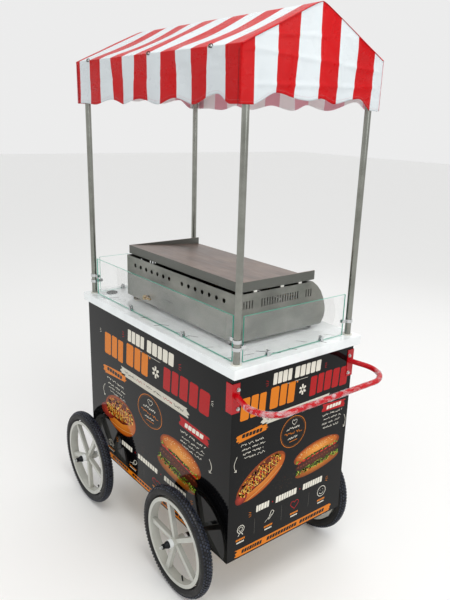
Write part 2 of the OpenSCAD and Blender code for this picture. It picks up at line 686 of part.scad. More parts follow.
tyre_front_left();
tyre_front_right();
tyre_rear_left();
tyre_rear_right();
rim_front_left();
rim_front_right();
rim_rear_left();
rim_rear_right();
bearings_front_left();
bearings_front_right();
bearings_rear_left();
bearings_rear_right();
axle_left();
axle_right();
axle_hardware();
axle_brackets();
chassis_frame();
cabinet_floor();
shelf();
front_panel();
left_panel();
right_panel();
rear_fascia();
door_tracks();
door_left();
door_right();
pull_left();
pull_right();
worktop();
cable_grommet();
glass_front();
glass_left();
glass_right();
glass_clips();
post_clamps();
post_front_left();
post_front_right();
post_rear_left();
post_rear_right();
post_collars();
canopy_frame();
canopy_tees();
canopy_cover();
griddle_casing();
griddle_panel();
griddle_plate();
plate_stands();
griddle_feet();
griddle_burners();
gas_manifold();
knob_left();
knob_middle();
knob_right();
grease_drawer();
drawer_runners();
handle_bar();
handle_brackets();
handle_bolts();
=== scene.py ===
# %% [markdown]
# # A push vending cart, dressed for its portrait
# The cart's parts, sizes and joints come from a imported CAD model, which is loaded as a fixed frame.
# This script adds what a camera sees: cloth, printed panels, tyres, glass, film and finishes.

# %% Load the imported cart
import math
import random

import bmesh
import bpy
from mathutils import Matrix, Vector, noise


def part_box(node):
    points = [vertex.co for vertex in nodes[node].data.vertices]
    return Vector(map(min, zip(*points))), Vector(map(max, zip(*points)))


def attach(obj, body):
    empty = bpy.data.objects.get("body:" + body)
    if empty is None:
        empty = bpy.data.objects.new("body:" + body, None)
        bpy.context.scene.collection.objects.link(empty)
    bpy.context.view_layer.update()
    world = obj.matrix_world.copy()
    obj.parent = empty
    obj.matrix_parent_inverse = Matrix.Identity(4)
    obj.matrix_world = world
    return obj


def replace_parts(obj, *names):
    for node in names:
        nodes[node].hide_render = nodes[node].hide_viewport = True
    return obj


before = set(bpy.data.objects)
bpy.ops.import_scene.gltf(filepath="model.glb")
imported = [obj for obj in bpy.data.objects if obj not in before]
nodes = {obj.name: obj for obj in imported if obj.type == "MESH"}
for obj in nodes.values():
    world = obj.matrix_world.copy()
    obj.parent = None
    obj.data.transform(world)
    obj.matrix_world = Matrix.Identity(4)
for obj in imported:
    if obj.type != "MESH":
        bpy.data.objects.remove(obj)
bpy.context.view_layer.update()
print("parts loaded:", len(nodes))

# %% [markdown]
# ## Places
# Most places come from a CAD part's box, so the looks stay on the parts if the model changes.

# %% Boxes of the parts that the scene builds on
def corners(name):
    low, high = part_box(name)
    return Vector(low), Vector(high)


TOP_LOW, TOP_HIGH = corners("worktop")
FRONT_LOW = corners("front_panel")[0]
END_HIGH = corners("right_panel")[1]
COVER_LOW, COVER_HIGH = corners("canopy_cover")
MIDDLE = (TOP_LOW + TOP_HIGH) / 2
print("worktop height:", round(TOP_HIGH.z, 3))

# %% [markdown]
# ## Helpers
# Colours are written as on a paint chart, in sRGB hex. Blender works in linear light, so one
# function turns a hex value into linear numbers. Another adds a shader node with its settings
# and its links, which keeps each material short. Noise is asked for by the size of its patches in
# millimetres, so that a pattern can be measured on the real thing.

# %% Colour and node helpers
def paint(hex_value):
    """A linear colour from an sRGB hex string."""
    parts = [int(hex_value[i : i + 2], 16) / 255 for i in (0, 2, 4)]
    linear = [c / 12.92 if c <= 0.04045 else ((c + 0.055) / 1.055) ** 2.4 for c in parts]
    return (*linear, 1.0)


RAMP, MIX = "ShaderNodeValToRGB", "ShaderNodeMix"
MATH, BUMP = "ShaderNodeMath", "ShaderNodeBump"


def add_node(tree, kind, inputs=None, stops=(), **settings):
    """Adds a node and sets its properties. Its inputs take values, or outputs of other nodes to
    link. A colour ramp also takes stops: a position with a grey level or a colour. A mix of
    colours has its factor at input 0, its colours at 6 and 7, and its result at output 2."""
    made = tree.nodes.new(kind)
    for key, value in settings.items():
        setattr(made, key, value)
    for key, value in (inputs or {}).items():
        if isinstance(value, bpy.types.NodeSocket):
            tree.links.new(value, made.inputs[key])
        else:
            made.inputs[key].default_value = value
    if stops:
        band = made.color_ramp.elements
        while len(band) < len(stops):
            band.new(0.5)
        for element, (where, what) in zip(band, stops):
            element.position = where
            element.color = what if isinstance(what, tuple) else (what, what, what, 1)
    return made


def new_material(name, colour, roughness, metallic=0.0, **sockets):
    """A material with a Principled shader. Returns (material, tree, shader)."""
    material = bpy.data.materials.new(name)
    material.use_nodes = True
    tree = material.node_tree
    shader = tree.nodes["Principled BSDF"]
    shader.inputs["Base Color"].default_value = paint(colour)
    shader.inputs["Roughness"].default_value = roughness
    shader.inputs["Metallic"].default_value = metallic
    for key, value in sockets.items():
        shader.inputs[key.replace("_", " ")].default_value = value
    return material, tree, shader


def grain(tree, size_mm, detail=3.0, roughness=0.55):
    """Noise on the piece, in patches of a size in millimetres: one number, or x, y and z."""
    sizes = size_mm if isinstance(size_mm, tuple) else (size_mm,) * 3
    coords = add_node(tree, "ShaderNodeTexCoord")
    patches = add_node(
        tree,
        "ShaderNodeMapping",
        {"Vector": coords.outputs["Object"], "Scale": [1000 / size for size in sizes]},
    )
    return add_node(
        tree,
        "ShaderNodeTexNoise",
        {
            "Vector": patches.outputs["Vector"],
            "Scale": 1.0,
            "Detail": detail,
            "Roughness": roughness,
        },
    ).outputs["Fac"]


# %% Mesh helpers
def raw_piece(name, points, faces=(), edges=()):
    """A piece in the cart's frame that isn't riding yet, for a tree or a modifier to finish."""
    mesh = bpy.data.meshes.new(name)
    mesh.from_pydata([tuple(p) for p in points], list(edges), list(faces))
    mesh.update()
    piece = bpy.data.objects.new(name, mesh)
    bpy.context.scene.collection.objects.link(piece)
    return piece


def shade_smooth(piece):
    for face in piece.data.polygons:
        face.use_smooth = True


def finish_piece(piece, body):
    """Makes a piece ride on a body."""
    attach(piece, body)
    return piece


def mesh_piece(name, points, faces, material):
    """A smooth piece from points and faces that rides on the cart itself."""
    piece = raw_piece(name, points, faces)
    piece.data.materials.append(material)
    shade_smooth(piece)
    return finish_piece(piece, "root")


SAME_PLACE = 1e-6


def tidy_normals(piece):
    """Merges doubled points and turns all faces outwards."""
    work = bmesh.new()
    work.from_mesh(piece.data)
    bmesh.ops.remove_doubles(work, verts=work.verts, dist=SAME_PLACE)
    bmesh.ops.recalc_face_normals(work, faces=work.faces)
    work.to_mesh(piece.data)
    work.free()


def bake_modifiers(piece):
    """Applies every modifier, so the piece is a plain mesh."""
    graph = bpy.context.evaluated_depsgraph_get()
    done = bpy.data.meshes.new_from_object(piece.evaluated_get(graph))
    piece.modifiers.clear()
    old = piece.data
    piece.data = done
    bpy.data.meshes.remove(old)
    return piece


def dress(material, *names):
    """Gives CAD parts their one material."""
    for name in names:
        part = nodes[name]
        part.data.materials.clear()
        part.data.materials.append(material)


# %% [markdown]
# ## Camera, floor and light
# The camera stands a little above head height at the customer's right and looks down along
# the cart. A pale floor, four large soft lights and a bright world copy a white-walled shop.

# %% Camera
CAMERA_TURN = (51.253, -17.385, 1.850)
CAMERA_FROM_MIDDLE = (2.2391, -1.6733)
CAMERA_HEIGHT = 2.0466


def aim_camera():
    """Yaw turns the camera left of +Y, pitch lifts its view, and roll raises its right side."""
    yaw, pitch, roll = (math.radians(angle) for angle in CAMERA_TURN)
    forward = Vector(
        (-math.sin(yaw) * math.cos(pitch), math.cos(yaw) * math.cos(pitch), math.sin(pitch))
    )
    level = Vector((math.cos(yaw), math.sin(yaw), 0))
    lift = level.cross(forward)
    right = level * math.cos(roll) + lift * math.sin(roll)
    up = lift * math.cos(roll) - level * math.sin(roll)
    data = bpy.data.cameras.new("portrait_camera")
    camera = bpy.data.objects.new("portrait_camera", data)
    bpy.context.scene.collection.objects.link(camera)
    camera.matrix_world = Matrix(
        (
            (right.x, up.x, -forward.x, MIDDLE.x + CAMERA_FROM_MIDDLE[0]),
            (right.y, up.y, -forward.y, MIDDLE.y + CAMERA_FROM_MIDDLE[1]),
            (right.z, up.z, -forward.z, CAMERA_HEIGHT),
            (0, 0, 0, 1),
        )
    )
    # The long side of the sensor spans the frame's height
    data.sensor_width = 36.0
    data.lens = 36.47
    data.shift_x = -0.00865
    data.shift_y = 0.01638
    bpy.context.scene.camera = camera


aim_camera()
print("camera height, m:", CAMERA_HEIGHT)

# %% Floor and lights
FLOOR_REACH = 30
WORLD_STRENGTH = 0.84


def soft_light(name, where, target, size, power, tint):
    """A rectangular area light that faces its target."""
    data = bpy.data.lights.new(name, "AREA")
    data.shape = "RECTANGLE"
    data.size, data.size_y = size
    data.energy = power
    data.color = paint(tint)[:3]
    lamp = bpy.data.objects.new(name, data)
    bpy.context.scene.collection.objects.link(lamp)
    lamp.location = where
    lamp.rotation_euler = (Vector(target) - Vector(where)).to_track_quat("-Z", "Y").to_euler()


def make_floor():
    """A floor far wider than the view. It is staging, so it isn't part of the cart."""
    material, _, _ = new_material("pale_floor_paint", "F6F6F5", 0.7)
    turns = ((-1, -1), (1, -1), (1, 1), (-1, 1))
    outline = [(x * FLOOR_REACH, y * FLOOR_REACH, 0) for x, y in turns]
    floor = raw_piece("floor", outline, [(0, 1, 2, 3)])
    floor.data.materials.append(material)


make_floor()
soft_light("high_softbox", (1.9, -0.5, 4.8), (0, 0, 1.2), (2.4, 2.0), 82, "FFFDF8")
soft_light("right_softbox", (4.6, -0.6, 3.0), (0, 0, 1.2), (2.0, 2.5), 24, "F6FAFF")
soft_light("left_softbox", (-2.6, -4.4, 2.6), (0, 0, 1.2), (3.0, 3.0), 5, "FFFFFF")
soft_light("back_softbox", (-1.0, 4.6, 3.4), (0, 0, 1.4), (4.0, 3.0), 18, "FFFFFF")

world = bpy.data.worlds.new("bright_room")
bpy.context.scene.world = world
world.use_nodes = True
backdrop = world.node_tree.nodes["Background"]
backdrop.inputs["Color"].default_value = paint("FFFFFF")
backdrop.inputs["Strength"].default_value = WORLD_STRENGTH
bpy.context.scene.view_settings.view_transform = "Standard"
print("lights:", len(bpy.data.lights))

# %% [markdown]
# ## Metals
# The posts and canopy frame are thin-walled steel pipe, polished along their length. The griddle
# is folded from brushed stainless sheet. Both start as a plain metal, and get their look from fine
# streaks that change the roughness: long ones along the pipe, and lines across the sheet.

# %% Pipe, sheet and small metal parts
def polished_pipe():
    """Polished steel pipe: bright core, soft long streaks, a few dull handling marks."""
    material, tree, shader = new_material("polished_steel_pipe", "8D8E87", 0.24, 1.0)
    streaks = grain(tree, (3.85, 3.85, 192))
    marks = grain(tree, 71.4)
    mixed = add_node(tree, MIX, {0: 0.5, 6: streaks, 7: marks}, data_type="RGBA").outputs[2]
    rough = add_node(tree, RAMP, {0: mixed}, [(0.3, 0.18), (0.7, 0.28)]).outputs[0]
    tree.links.new(rough, shader.inputs["Roughness"])
    tone = add_node(
        tree, RAMP, {0: marks}, [(0.3, paint("82837C")), (0.7, paint("979891"))]
    ).outputs[0]
    tree.links.new(tone, shader.inputs["Base Color"])
    return material


def brushed_sheet(name, dark, light):
    """Brushed stainless sheet, with level lines. Real lines are a few tenths of a millimetre
    apart. They are drawn about 2.4 mm apart, or they wouldn't show."""
    material, tree, shader = new_material(name, light, 0.3, 1.0)
    brush = grain(tree, (250, 250, 2.38), 2.0)
    cloud = grain(tree, (167, 167, 104), 4.0)
    rough = add_node(
        tree,
        RAMP,
        {0: add_node(tree, MIX, {0: 0.45, 6: brush, 7: cloud}, data_type="RGBA").outputs[2]},
        [(0.3, 0.27), (0.75, 0.36)],
    ).outputs[0]
    tree.links.new(rough, shader.inputs["Roughness"])
    tone = add_node(tree, RAMP, {0: cloud}, [(0.32, paint(dark)), (0.68, paint(light))]).outputs[0]
    tree.links.new(tone, shader.inputs["Base Color"])
    return material


def plain_metal(name, colour, roughness):
    """Plated, cast or oxidised small parts: one colour with an uneven shine."""
    material, tree, shader = new_material(name, colour, roughness, 1.0)
    spots = grain(tree, 11.1)
    rough = add_node(
        tree, RAMP, {0: spots}, [(0.3, max(0.05, roughness - 0.1)), (0.7, roughness + 0.1)]
    ).outputs[0]
    tree.links.new(rough, shader.inputs["Roughness"])
    return material


PIPE = polished_pipe()
SHEET = brushed_sheet("brushed_stainless", "70716C", "93938C")
CHROME = plain_metal("chrome_plate", "C9CBCC", 0.14)
ZINC = plain_metal("zinc_plate", "BFC1BE", 0.3)
BRASS = plain_metal("brass", "B5965A", 0.28)
ALUMINIUM = plain_metal("anodised_aluminium", "B5B7B8", 0.34)
BURNER = plain_metal("heat_scaled_steel", "6B6058", 0.55)
BLACK_STEEL = plain_metal("black_oxide_steel", "2A2B2D", 0.38)
print("materials so far:", len(bpy.data.materials))

# %% [markdown]
# ## Seasoned hot plate
# A griddle plate is thick carbon steel. Oil bakes on it into a brown-grey skin that is smoother
# where the food lies, so two sizes of cloud mix brown and grey. Only the faces that look up are
# seasoned: the skirts stay a dull bare steel.

# %% Hot plate
def seasoned_plate():
    """Carbon steel under baked oil: brown clouds dragged along the plate by a scraper."""
    material, tree, shader = new_material("seasoned_carbon_steel", "7D6E66", 0.4, 0.55)
    cloud = grain(tree, (182, 114, 182), 6.0, 0.6)
    drag = grain(tree, (125, 11.1, 125))
    tone = add_node(
        tree,
        RAMP,
        {0: cloud},
        [(0.3, paint("594B41")), (0.52, paint("84736A")), (0.72, paint("A19186"))],
    ).outputs[0]
    skin = add_node(
        tree, MIX, {0: 0.12, 6: tone, 7: drag}, data_type="RGBA", blend_type="SOFT_LIGHT"
    ).outputs[2]
    normal = add_node(tree, "ShaderNodeNewGeometry").outputs["Normal"]
    height = add_node(tree, "ShaderNodeSeparateXYZ", {"Vector": normal}).outputs["Z"]
    upward = add_node(tree, RAMP, {0: height}, [(0.5, 0.0), (0.8, 1.0)]).outputs[0]
    mixed = add_node(
        tree, MIX, {0: upward, 6: paint("62635E"), 7: skin}, data_type="RGBA"
    ).outputs[2]
    tree.links.new(mixed, shader.inputs["Base Color"])
    rough = add_node(
        tree,
        RAMP,
        {0: add_node(tree, MIX, {0: 0.4, 6: cloud, 7: drag}, data_type="RGBA").outputs[2]},
        [(0.3, 0.26), (0.7, 0.5)],
    ).outputs[0]
    tree.links.new(rough, shader.inputs["Roughness"])
    tree.links.new(
        add_node(tree, BUMP, {"Height": drag, "Strength": 0.08, "Distance": 0.0003}).outputs[0],
        shader.inputs["Normal"],
    )
    return material


PLATE = seasoned_plate()

# %% [markdown]
# ## Plastics, rubber, wood and paint
# Moulded plastics keep one colour and a soft shine with a faint flow texture. The grey frame paint
# and the laminate get a clear coat, which is what makes a deep gloss over a rougher colour.

# %% Plastics and paints
def moulded(name, colour, roughness, texture_mm=4.17, depth=0.0003, **sockets):
    """A moulded or painted surface with broad clouds in its shine and a fine texture. A mould's
    own texture is under a millimetre, and is drawn coarser where it has to show."""
    material, tree, shader = new_material(name, colour, roughness, 0.0, **sockets)
    fine = grain(tree, texture_mm)
    broad = grain(tree, 111)
    rough = add_node(
        tree, RAMP, {0: broad}, [(0.3, roughness * 0.8), (0.7, min(1.0, roughness * 1.25))]
    ).outputs[0]
    tree.links.new(rough, shader.inputs["Roughness"])
    base = paint(colour)
    shade = tuple(c * 0.86 for c in base[:3]) + (1,)
    tree.links.new(
        add_node(tree, RAMP, {0: broad}, [(0.3, shade), (0.65, base)]).outputs[0],
        shader.inputs["Base Color"],
    )
    tree.links.new(
        add_node(tree, BUMP, {"Height": fine, "Strength": 0.15, "Distance": depth}).outputs[0],
        shader.inputs["Normal"],
    )
    return material


NYLON = moulded("glass_filled_nylon", "BFC0B8", 0.42, 2.63)
BEARING = moulded("white_acetal", "E9ECEC", 0.3)
KNOB = moulded("black_phenolic", "16171A", 0.28)
GROMMET = moulded("soft_black_rubber", "141516", 0.6)
FOOT = moulded("black_rubber_foot", "18191A", 0.65)
COLLAR = moulded("ivory_polyethylene", "D8D8CF", 0.4)
CERAMIC = moulded("pale_ceramic", "DAD9D2", 0.5)
FRAME_PAINT = moulded("grey_frame_paint", "6B6E71", 0.4, 6.25, Coat_Weight=0.2)
RED_PAINT = moulded("red_powder_coat", "B80413", 0.25, 1.92, Specular_IOR_Level=0.35)
BLACK_PANEL = moulded(
    "black_gloss_composite_panel", "060607", 0.05, 200, 0.0003, Specular_IOR_Level=0.15
)
LAMINATE = moulded(
    "white_gloss_laminate", "EEF3F4", 0.14, 83.3, 0.0006, Coat_Weight=0.6, Coat_Roughness=0.05
)


def plywood():
    """Birch plywood under varnish: long grain along the cart."""
    material, tree, shader = new_material("varnished_plywood", "B89A6C", 0.45, Coat_Weight=0.3)
    fibres = grain(tree, (333, 14.3, 14.3), 5.0)
    tone = add_node(
        tree, RAMP, {0: fibres}, [(0.3, paint("9C7F55")), (0.7, paint("C9AE82"))]
    ).outputs[0]
    tree.links.new(tone, shader.inputs["Base Color"])
    tree.links.new(
        add_node(tree, BUMP, {"Height": fibres, "Strength": 0.2, "Distance": 0.0005}).outputs[0],
        shader.inputs["Normal"],
    )
    return material


PLYWOOD = plywood()

# %% [markdown]
# ## Glass
# Float glass looks clear through its face and green along its edges, because light there travels
# a long way through the iron in it. The faces and edges point different ways, so the surface
# normal chooses between a clear and a green finish.

# %% Float glass
def float_glass(name, face_axis):
    """Float glass for a pane whose faces look along one axis."""
    material, tree, shader = new_material(
        name, "FFFFFF", 0.0, IOR=1.45, Specular_IOR_Level=0.22
    )
    normal = add_node(tree, "ShaderNodeNewGeometry").outputs["Normal"]
    axes = add_node(tree, "ShaderNodeSeparateXYZ", {"Vector": normal})
    size = add_node(tree, MATH, {0: axes.outputs[face_axis]}, operation="ABSOLUTE").outputs["Value"]
    tint = add_node(
        tree, RAMP, {0: size}, [(0.4, paint("35A98F")), (0.6, paint("F9FEFD"))]
    ).outputs[0]
    tree.links.new(tint, shader.inputs["Base Color"])
    tree.links.new(
        add_node(tree, RAMP, {0: size}, [(0.4, 0.35), (0.6, 0.0)]).outputs[0],
        shader.inputs["Roughness"],
    )
    clear = add_node(tree, RAMP, {0: size}, [(0.4, 0.15), (0.6, 1.0)]).outputs[0]
    tree.links.new(clear, shader.inputs["Transmission Weight"])
    body = add_node(tree, RAMP, {0: size}, [(0.4, 0.95), (0.6, 0.14)]).outputs[0]
    tree.links.new(body, shader.inputs["Alpha"])
    return material


GLASS_FRONT = float_glass("float_glass_long_pane", "Y")
GLASS_END = float_glass("float_glass_end_pane", "X")
print("finishes made:", len(bpy.data.materials))

# %% [markdown]
# ## Dress the CAD parts
# The CAD model brings each part as its own mesh, so one line can give a finish to a whole family
# of parts. Parts that are bent, welded or moulded as one piece share one finish.

# %% Give every CAD part its finish
CORNERS = ["front_left", "front_right", "rear_left", "rear_right"]


def each_corner(stem):
    """The names of a part that comes once for each corner."""
    return [f"{stem}_{corner}" for corner in CORNERS]


dress(NYLON, *each_corner("rim"))
dress(BEARING, *each_corner("bearings"))
dress(PIPE, *each_corner("post"), "canopy_frame", "canopy_tees")
dress(ZINC, "axle_left", "axle_right", "handle_bolts")
dress(BLACK_STEEL, "axle_hardware", "axle_brackets")
dress(FRAME_PAINT, "chassis_frame")
dress(PLYWOOD, "cabinet_floor", "shelf")
dress(BLACK_PANEL, "front_panel", "left_panel", "right_panel", "rear_fascia")
dress(BLACK_PANEL, "door_left", "door_right")
dress(ALUMINIUM, "door_tracks")
dress(CHROME, "pull_left", "pull_right", "glass_clips", "post_clamps")
dress(LAMINATE, "worktop")
dress(GROMMET, "cable_grommet")
dress(GLASS_FRONT, "glass_front")
dress(GLASS_END, "glass_left", "glass_right")
dress(COLLAR, "post_collars")
dress(SHEET, "griddle_casing", "griddle_panel", "grease_drawer", "drawer_runners")
dress(PLATE, "griddle_plate")
dress(CERAMIC, "plate_stands")
dress(FOOT, "griddle_feet")
dress(BURNER, "griddle_burners")
dress(BRASS, "gas_manifold")
dress(KNOB, "knob_left", "knob_middle", "knob_right")
dress(RED_PAINT, "handle_bar", "handle_brackets")
print("parts with a finish:", sum(1 for part in nodes.values() if part.data.materials))

# %% [markdown]
# ## A way to repeat small things
# Treads, threads, stitches and creases all repeat one small shape. Geometry Nodes do that well:
# a tree puts the shape on points, and its named inputs hold the real sizes. The result is turned
# into a plain mesh at once, so the piece is ready to ride on its body.

# %% Geometry Nodes helpers
def new_tree(name, inputs):
    """A Geometry Nodes tree with named inputs. Returns (tree, input node, output node)."""
    tree = bpy.data.node_groups.new(name, "GeometryNodeTree")
    face = tree.interface
    face.new_socket("Geometry", in_out="INPUT", socket_type="NodeSocketGeometry")
    for label, kind in inputs.items():
        face.new_socket(label, in_out="INPUT", socket_type="NodeSocket" + kind)
    face.new_socket("Geometry", in_out="OUTPUT", socket_type="NodeSocketGeometry")
    return tree, tree.nodes.new("NodeGroupInput"), tree.nodes.new("NodeGroupOutput")


def close_tree(tree, start, end, shapes):
    """Ends a tree: realizes the instances and sets their material."""
    real = add_node(tree, "GeometryNodeRealizeInstances", {0: shapes})
    painted = add_node(
        tree,
        "GeometryNodeSetMaterial",
        {"Geometry": real.outputs[0], "Material": start.outputs["Material"]},
    )
    tree.links.new(painted.outputs[0], end.inputs["Geometry"])


def run_tree(piece, tree, **values):
    """Runs a tree on a piece with its inputs set, then bakes it to a plain mesh."""
    modifier = piece.modifiers.new(tree.name, "NODES")
    modifier.node_group = tree
    for item in tree.interface.items_tree:
        if item.in_out == "INPUT" and item.name in values:
            modifier[item.identifier] = values[item.name]
    return bake_modifiers(piece)


# %% [markdown]
# ## Tyres
# A bicycle-style tyre is a round carcass with rows of small knobs moulded on its crown. The
# carcass is a ring swept round the axle. The tree makes rows of points round the crown, turns
# every other row by half a step, drops the outer rows down the curve, and puts a knob on each
# point, standing square to the curve.

# %% Tyre rubber
def tyre_rubber(name, dark, light, roughness):
    """Carbon-black rubber: nearly black, with dusty patches that dull and lighten it. The knob rubber is
    lighter and bluish all over: painted sheen for the bluish highlights on the knob tops.
    """
    material, tree, shader = new_material(name, dark, roughness, Specular_IOR_Level=0.35)
    dust_and_sheen = grain(tree, 23.8, 4.0)
    tone = add_node(tree, RAMP, {0: dust_and_sheen}, [(0.35, paint(dark)), (0.7, paint(light))]).outputs[0]
    tree.links.new(tone, shader.inputs["Base Color"])
    rough = add_node(
        tree, RAMP, {0: dust_and_sheen}, [(0.3, roughness - 0.08), (0.7, roughness + 0.1)]
    ).outputs[0]
    tree.links.new(rough, shader.inputs["Roughness"])
    tree.links.new(
        add_node(
            tree, BUMP, {"Height": grain(tree, 1.11), "Strength": 0.2, "Distance": 0.0002}
        ).outputs[0],
        shader.inputs["Normal"],
    )
    return material


RUBBER = tyre_rubber("carbon_black_rubber", "070708", "111113", 0.55)
# The knob rubber's lighter bluish colours are painted sheen, for the bluish highlights on the knob tops.
KNOB_RUBBER = tyre_rubber("knob_rubber_painted_sheen", "181B22", "3A4050", 0.3)

# %% Tread tree
def tread_tree():
    tree, start, end = new_tree(
        "tyre_tread",
        {
            "Crown Radius": "Float",
            "Section Radius": "Float",
            "Rows": "Int",
            "Row Spacing": "Float",
            "Knobs Around": "Int",
            "Knob Size": "Vector",
            "Centre": "Vector",
            "Material": "Material",
        },
    )
    size = start.outputs
    half = add_node(
        tree,
        MATH,
        {
            0: add_node(tree, MATH, {0: size["Rows"], 1: 1.0}, operation="SUBTRACT").outputs[0],
            1: -0.5,
        },
        operation="MULTIPLY",
    ).outputs[0]
    first = add_node(
        tree,
        "ShaderNodeCombineXYZ",
        {
            "Z": add_node(
                tree, MATH, {0: half, 1: size["Row Spacing"]}, operation="MULTIPLY"
            ).outputs[0],
        },
    )
    step = add_node(tree, "ShaderNodeCombineXYZ", {"Z": size["Row Spacing"]})
    rows = add_node(
        tree,
        "GeometryNodeMeshLine",
        {
            "Count": size["Rows"],
            "Start Location": first.outputs[0],
            "Offset": step.outputs[0],
        },
    )
    ring = add_node(
        tree,
        "GeometryNodeMeshCircle",
        {"Vertices": size["Knobs Around"], "Radius": size["Crown Radius"]},
    )
    # Every other row turns by half a knob
    row_number = add_node(tree, "GeometryNodeInputIndex").outputs[0]
    odd = add_node(tree, MATH, {0: row_number, 1: 2.0}, operation="MODULO").outputs[0]
    half_knob = add_node(
        tree, MATH, {0: math.pi, 1: size["Knobs Around"]}, operation="DIVIDE"
    ).outputs[0]
    turn = add_node(
        tree,
        "ShaderNodeCombineXYZ",
        {"Z": add_node(tree, MATH, {0: odd, 1: half_knob}, operation="MULTIPLY").outputs[0]},
    )
    rings = add_node(
        tree,
        "GeometryNodeInstanceOnPoints",
        {"Points": rows.outputs[0], "Instance": ring.outputs[0], "Rotation": turn.outputs[0]},
    )
    spots = add_node(tree, "GeometryNodeRealizeInstances", {0: rings.outputs[0]}).outputs[0]

    # Drop each point on to the round section, and find the way it faces
    here = add_node(tree, "GeometryNodeInputPosition").outputs[0]
    parts = add_node(tree, "ShaderNodeSeparateXYZ", {0: here})
    across = parts.outputs["Z"]
    flat = add_node(
        tree, "ShaderNodeCombineXYZ", {"X": parts.outputs["X"], "Y": parts.outputs["Y"]}
    )
    radial = add_node(
        tree, "ShaderNodeVectorMath", {0: flat.outputs[0]}, operation="NORMALIZE"
    ).outputs[0]
    squared = add_node(
        tree,
        MATH,
        {
            0: add_node(
                tree, MATH, {0: size["Section Radius"], 1: 2.0}, operation="POWER"
            ).outputs[0],
            1: add_node(tree, MATH, {0: across, 1: 2.0}, operation="POWER").outputs[0],
        },
        operation="SUBTRACT",
    ).outputs[0]
    rise = add_node(tree, MATH, {0: squared}, operation="SQRT").outputs[0]
    drop = add_node(
        tree, MATH, {0: rise, 1: size["Section Radius"]}, operation="SUBTRACT"
    ).outputs[0]
    move = add_node(
        tree, "ShaderNodeVectorMath", {0: radial, "Scale": drop}, operation="SCALE"
    ).outputs[0]
    up = add_node(
        tree, "ShaderNodeVectorMath", {0: radial, "Scale": rise}, operation="SCALE"
    ).outputs[0]
    side = add_node(tree, "ShaderNodeCombineXYZ", {"Z": across})
    facing = add_node(
        tree, "ShaderNodeVectorMath", {0: up, 1: side.outputs[0]}, operation="ADD"
    ).outputs[0]
    kept = add_node(
        tree,
        "GeometryNodeStoreNamedAttribute",
        {"Geometry": spots},
        data_type="FLOAT_VECTOR",
    )
    kept.inputs["Name"].default_value = "facing"
    tree.links.new(facing, kept.inputs["Value"])
    seated = add_node(
        tree, "GeometryNodeSetPosition", {"Geometry": kept.outputs[0], "Offset": move}
    ).outputs[0]
    stored = add_node(tree, "GeometryNodeInputNamedAttribute", data_type="FLOAT_VECTOR")
    stored.inputs["Name"].default_value = "facing"
    stand = add_node(
        tree,
        "FunctionNodeAxesToRotation",
        {"Primary Axis": stored.outputs["Attribute"]},
        primary_axis="Z",
        secondary_axis="Y",
    )
    stand.inputs["Secondary Axis"].default_value = (0, 0, 1)
    knob = add_node(tree, "GeometryNodeMeshCube", {"Size": size["Knob Size"]})
    knobs = add_node(
        tree,
        "GeometryNodeInstanceOnPoints",
        {"Points": seated, "Instance": knob.outputs[0], "Rotation": stand.outputs[0]},
    )
    placed = add_node(
        tree,
        "GeometryNodeTransform",
        {
            "Geometry": knobs.outputs[0],
            "Translation": size["Centre"],
            "Rotation": (math.pi / 2, 0, 0),
        },
    )
    close_tree(tree, start, end, placed.outputs[0])
    return tree


TREAD = tread_tree()
print("nodes in the tread tree:", len(TREAD.nodes))

# %% Carcass and tyres
KNOB_HEIGHT = 0.0034
KNOB_SUNK = 0.0004
KNOB_ACROSS = (0.009, 0.0062)
KNOB_ROWS = 5
KNOBS_AROUND = 96
ROW_SPACING = 0.0094
SIDEWALL_RIDGE = 0.0007
SECTION = (corners("tyre_front_left")[1].y - corners("tyre_front_left")[0].y) / 2


def round_angles(count):
    """Even turns round a circle."""
    return [2 * math.pi * i / count for i in range(count)]


def ring_of_rows(rows, count):
    """Faces that close a ring of rows, each a closed loop of count points."""
    faces = []
    for row in range(rows):
        after = (row + 1) % rows
        for i in range(count):
            j = (i + 1) % count
            faces.append((row * count + i, after * count + i, after * count + j, row * count + j))
    return faces


def swept_ring(outline, centre, steps):
    """Sweeps a closed outline of (radius, across) round an axle along Y."""
    points = []
    for turn in round_angles(steps):
        reach, rise = math.cos(turn), math.sin(turn)
        for radius, across in outline:
            offset = (radius * reach, across, radius * rise)
            points.append([start + move for start, move in zip(centre, offset)])
    return points, ring_of_rows(steps, len(outline))


def carcass_outline(crown):
    """A round section with two moulded rings on each sidewall, at angles from the crown."""
    outline = []
    for degrees in range(0, 360, 6):
        angle = math.radians(degrees)
        from_crown = min(degrees, 360 - degrees)
        ridge = SIDEWALL_RIDGE if from_crown in (90, 96, 120) else 0.0
        radius = SECTION - KNOB_HEIGHT + ridge
        outline.append((crown + radius * math.cos(angle), radius * math.sin(angle)))
    return outline


def make_tyre(corner):
    """One wheel's carcass and its tread."""
    low, high = corners("tyre_" + corner)
    centre = (low + high) / 2
    wheel = (high.z - low.z) / 2
    points, faces = swept_ring(carcass_outline(wheel - SECTION), centre, 120)
    piece = raw_piece("tyre_body_" + corner, points, faces)
    piece.data.materials.append(RUBBER)
    tidy_normals(piece)
    shade_smooth(piece)
    knobs = raw_piece("tyre_tread_" + corner, [(0, 0, 0)])
    run_tree(
        knobs,
        TREAD,
        **{
            "Crown Radius": wheel - KNOB_HEIGHT / 2 - KNOB_SUNK,
            "Section Radius": SECTION - KNOB_HEIGHT / 2,
            "Rows": KNOB_ROWS,
            "Row Spacing": ROW_SPACING,
            "Knobs Around": KNOBS_AROUND,
            "Knob Size": (*KNOB_ACROSS, KNOB_HEIGHT + 2 * KNOB_SUNK),
            "Centre": tuple(centre),
            "Material": KNOB_RUBBER,
        },
    )
    return piece, knobs


